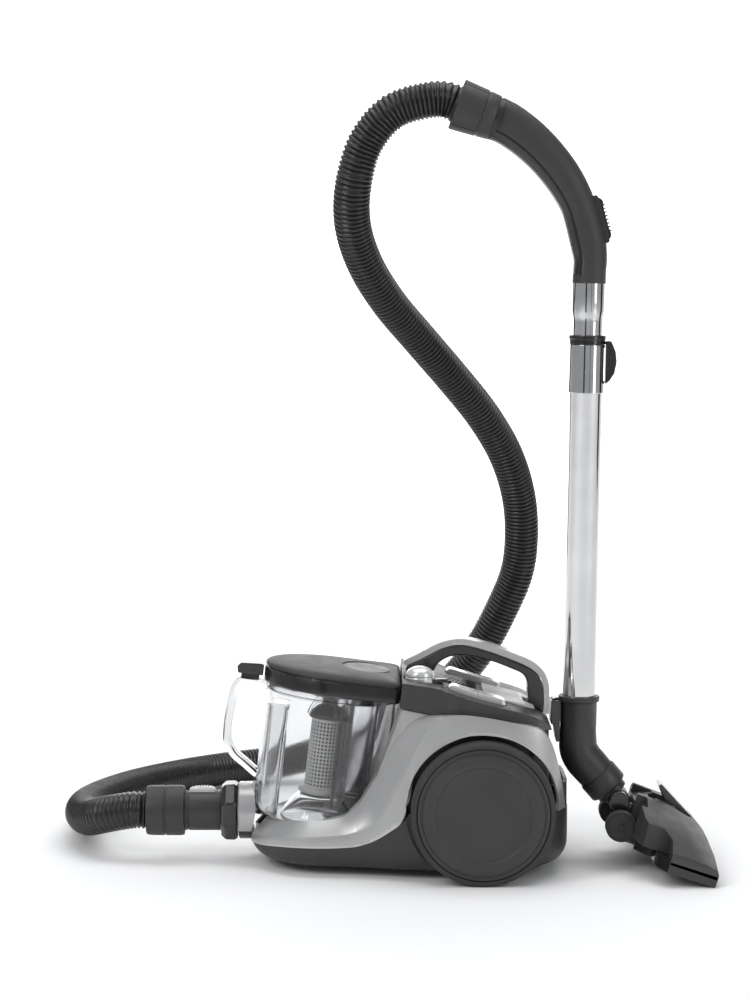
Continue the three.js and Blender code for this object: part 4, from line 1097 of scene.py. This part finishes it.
def floor_head():
    base = make(slab(HEAD_PLAN, 0, 12), HEAD)
    cut(base, block(-12, -2, -128, 128, -1, 8), block(-50, -20, -110, 110, -1, 7), *pockets(), place=HEAD)
    finish(base, "head_sole", GLOSS_BLACK, "head_base", bevel=0.8)
    for end, side in SIDES:
        low, high = spread(side, 18, 27)
        ear = both(crosswise(rod(11, low, high, 0.8), HINGE_X, HINGE_Z),
                   block(HINGE_X, -92, low + 0.4, high - 0.4, 10, 40))
        add(f"head_ear_{end}", ear, GLOSS_BLACK, "head_base", HEAD, bevel=0.8)
    cover = make(loft([[(x, y, z) for x, z in HEAD_SECTIONS[abs(y)]]
                       for y in (-135, -112, -90, -36, 0, 36, 90, 112, 135)]), HEAD)
    cut(cover, block(-75, -24, -17, 17, 41, 60), *pockets(),
        plate([(-120, 44.5), (-88, 44.5), (-70, 51), (-70, 70), (-120, 70)], -27, 27), place=HEAD)
    recess = [(-110, -4), (-50, -4), (-53.5, 30.7), (-77.2, 46.7), (-110, 46.7)]
    cut(cover, *[plate(recess, *spread(side, 97, 140)) for side in (-1, 1)], place=HEAD)
    finish(cover, "head_cover_shell", SATIN, "head_cover", bevel=0.9, sharp=20)
    teeth = both(*[block(-4, 2.4, y, y + 7, -0.2, 12) for y in range(-132, 126, 13)])
    add("head_front_teeth", moved(teeth, -1.4, 0, 0.6), GLOSS_BLACK, "head_base", HEAD, bevel=0.6)
    pedal = [(-70.4, 65.6), (-68.2, 68.4), (-26.6, 45), (-28, 42), (-44, 43), (-50, 44), (-58, 51)]
    add("head_pedal_plate", plate(pedal, -15, 15), GLOSS_BLACK, "head_pedal", HEAD, bevel=1.2)
    add("head_pedal_pin", crosswise(rod(2, -16.6, 16.6, 0.3), -48, 48), STEEL, "head_pedal", HEAD)
    dress("hinge_pin", STEEL, 0.4)
    tufts = both(block(-10.8, -3.2, -127, 127, 3, 7),
                 *[block(-9, -5, y, y + 3.6, 1.2, 4) for y in range(-126, 123, 5)])
    add("brush_tufts", tufts, BRISTLE, "brush_strip", HEAD, bevel=0.2)
    tread = [(2, -8), (13, -8), (13.6, -7), (15.4, -7.6), (16.2, -6.6), (16.5, -5), (16.5, 5), (16.2, 6.6),
             (15.4, 7.6), (13.6, 7), (13, 8), (2, 8), (2, 12.6), (0.01, 12.6)]
    axle_end = [(0.01, -12.6), (2, -12.6)]
    for end, side in SIDES:
        place = HEAD @ Matrix.Translation((HEAD_WHEEL_X, side * HEAD_WHEEL_Y, HEAD_WHEEL_Z)) @ ALONG_Y
        add(f"head_wheel_{end}_tread", lathe(axle_end + tread, 80), RUBBER, f"head_wheel_{end}", place,
            bevel=0.3)


# ---- grip
GRIP_LINE = [(227.4, 620.6, 17.8), (227.7, 633, 17.8), (228.4, 646, 18.0), (225.6, 666, 19.6),
             (220.8, 685, 19.4), (215.1, 702.5, 19), (204.1, 724.1, 20.2), (186.9, 748, 21.2),
             (164.3, 771, 22.2), (141, 788, 23), (127.1, 794.5, 23.6)]


def grip():
    line = spline(GRIP_LINE, 8)
    path = [(x, 0, z) for x, z, r in line]
    shell = swept(path, [(r, min(r, 18.6)) for x, z, r in line], 64, 0.93)
    add("grip_shell", shell, SATIN, "grip", bevel=0.8)
    inner = line[6:-2]
    centres = [Vector(p) - side * 0.56 * r for p, (side, _), (x, z, r)
               in zip(path[6:-2], frames_along(path[6:-2]), inner)]
    add("grip_inner_band", swept(centres, [(0.45 * r, 16.8) for x, z, r in inner], 48), GLOSS_BLACK, "grip")
    place = Matrix.Translation((239.9, 0, 688.5)) @ Matrix.Rotation(math.radians(-15.4), 4, "Y")
    bed = [(-6, -26), (0.6, -26), (2.4, -24), (2.4, 24), (0.6, 26), (-6, 26)]
    add("grip_slider_bed", plate(bed, -8.6, 8.6), DARK, "grip", place, bevel=0.6)
    knob = [(0.4, -23), (4, -22), (6, -18), (5, -10), (5, 10), (6.4, 18), (4, 22), (0.4, 23)]
    add("grip_slider_knob", plate(knob, -7, 7), GLOSS_BLACK, "grip_slider", place,
        bevel=0.9)
    ribs = both(*[block(4, 7.2, -6.6, 6.6, z - 0.8, z + 0.8) for z in range(-14, 15, 4)])
    add("grip_slider_ribs", ribs, DARK, "grip_slider", place, bevel=0.3)
    add("grip_spigot", pipe(22.8, 17.4, -5, 4, 0.2, 96), DARK, "grip", GRIP_END, bevel=0.1)
    sleeve = [(23.2, 0.6), (23.6, 0.6), (24.2, 1.4), (25.2, 12), (24.6, 12.8), (24.7, 14.2), (25.6, 14.8),
              (27.4, 40.4), (27.4, 42), (26.4, 43), (20.6, 43), (20.6, 40), (17.5, 40), (17.5, 5), (23.2, 5),
              (23.2, 0.6)]
    cuff = make(lathe(sleeve, 96), GRIP_END)
    cut(cuff, *[turned_to(block(24, 30, -0.5, 0.5, 14, 42), Matrix.Rotation(math.radians(a), 4, "Z"))
                for a in (35, 145, 215, 325)], place=GRIP_END)
    finish(cuff, "grip_sleeve_shell", SATIN, "grip_sleeve", bevel=0.5)


def carried_over():
    """CAD nodes whose shape is right as it is."""
    finishes = {
        "parking_bracket": (GLOSS_BLACK, 0.8), "motor_housing": (STEEL, 0.5),
        "motor_mount_ring": (RUBBER, 0.5), "motor_fan": (STEEL, 0.3),
        "cord_reel": (CHARCOAL, 0.5), "motor_filter": (FOAM, 0.6),
        "exhaust_filter": (FOAM, 0.6), "power_switch": (GLOSS_BLACK, 0.5), "exhaust_grille": (DARK, 0.5),
        "cord_gland": (RUBBER, 0.5), "caster_fork": (GLOSS_BLACK, 0.6), "caster_wheel": (RUBBER, 0.8),
    }
    for node, (material, bevel) in finishes.items():
        dress(node, material, bevel)


for build in (
    studio, hose, base_tray, side_covers, bin_cradle, top_panel, deck_cover,
    pedals, lock_button, carry_handle, wheels, dust_bin, lid,
    cyclone, inlet, wand, floor_head, grip, carried_over,
):
    build()
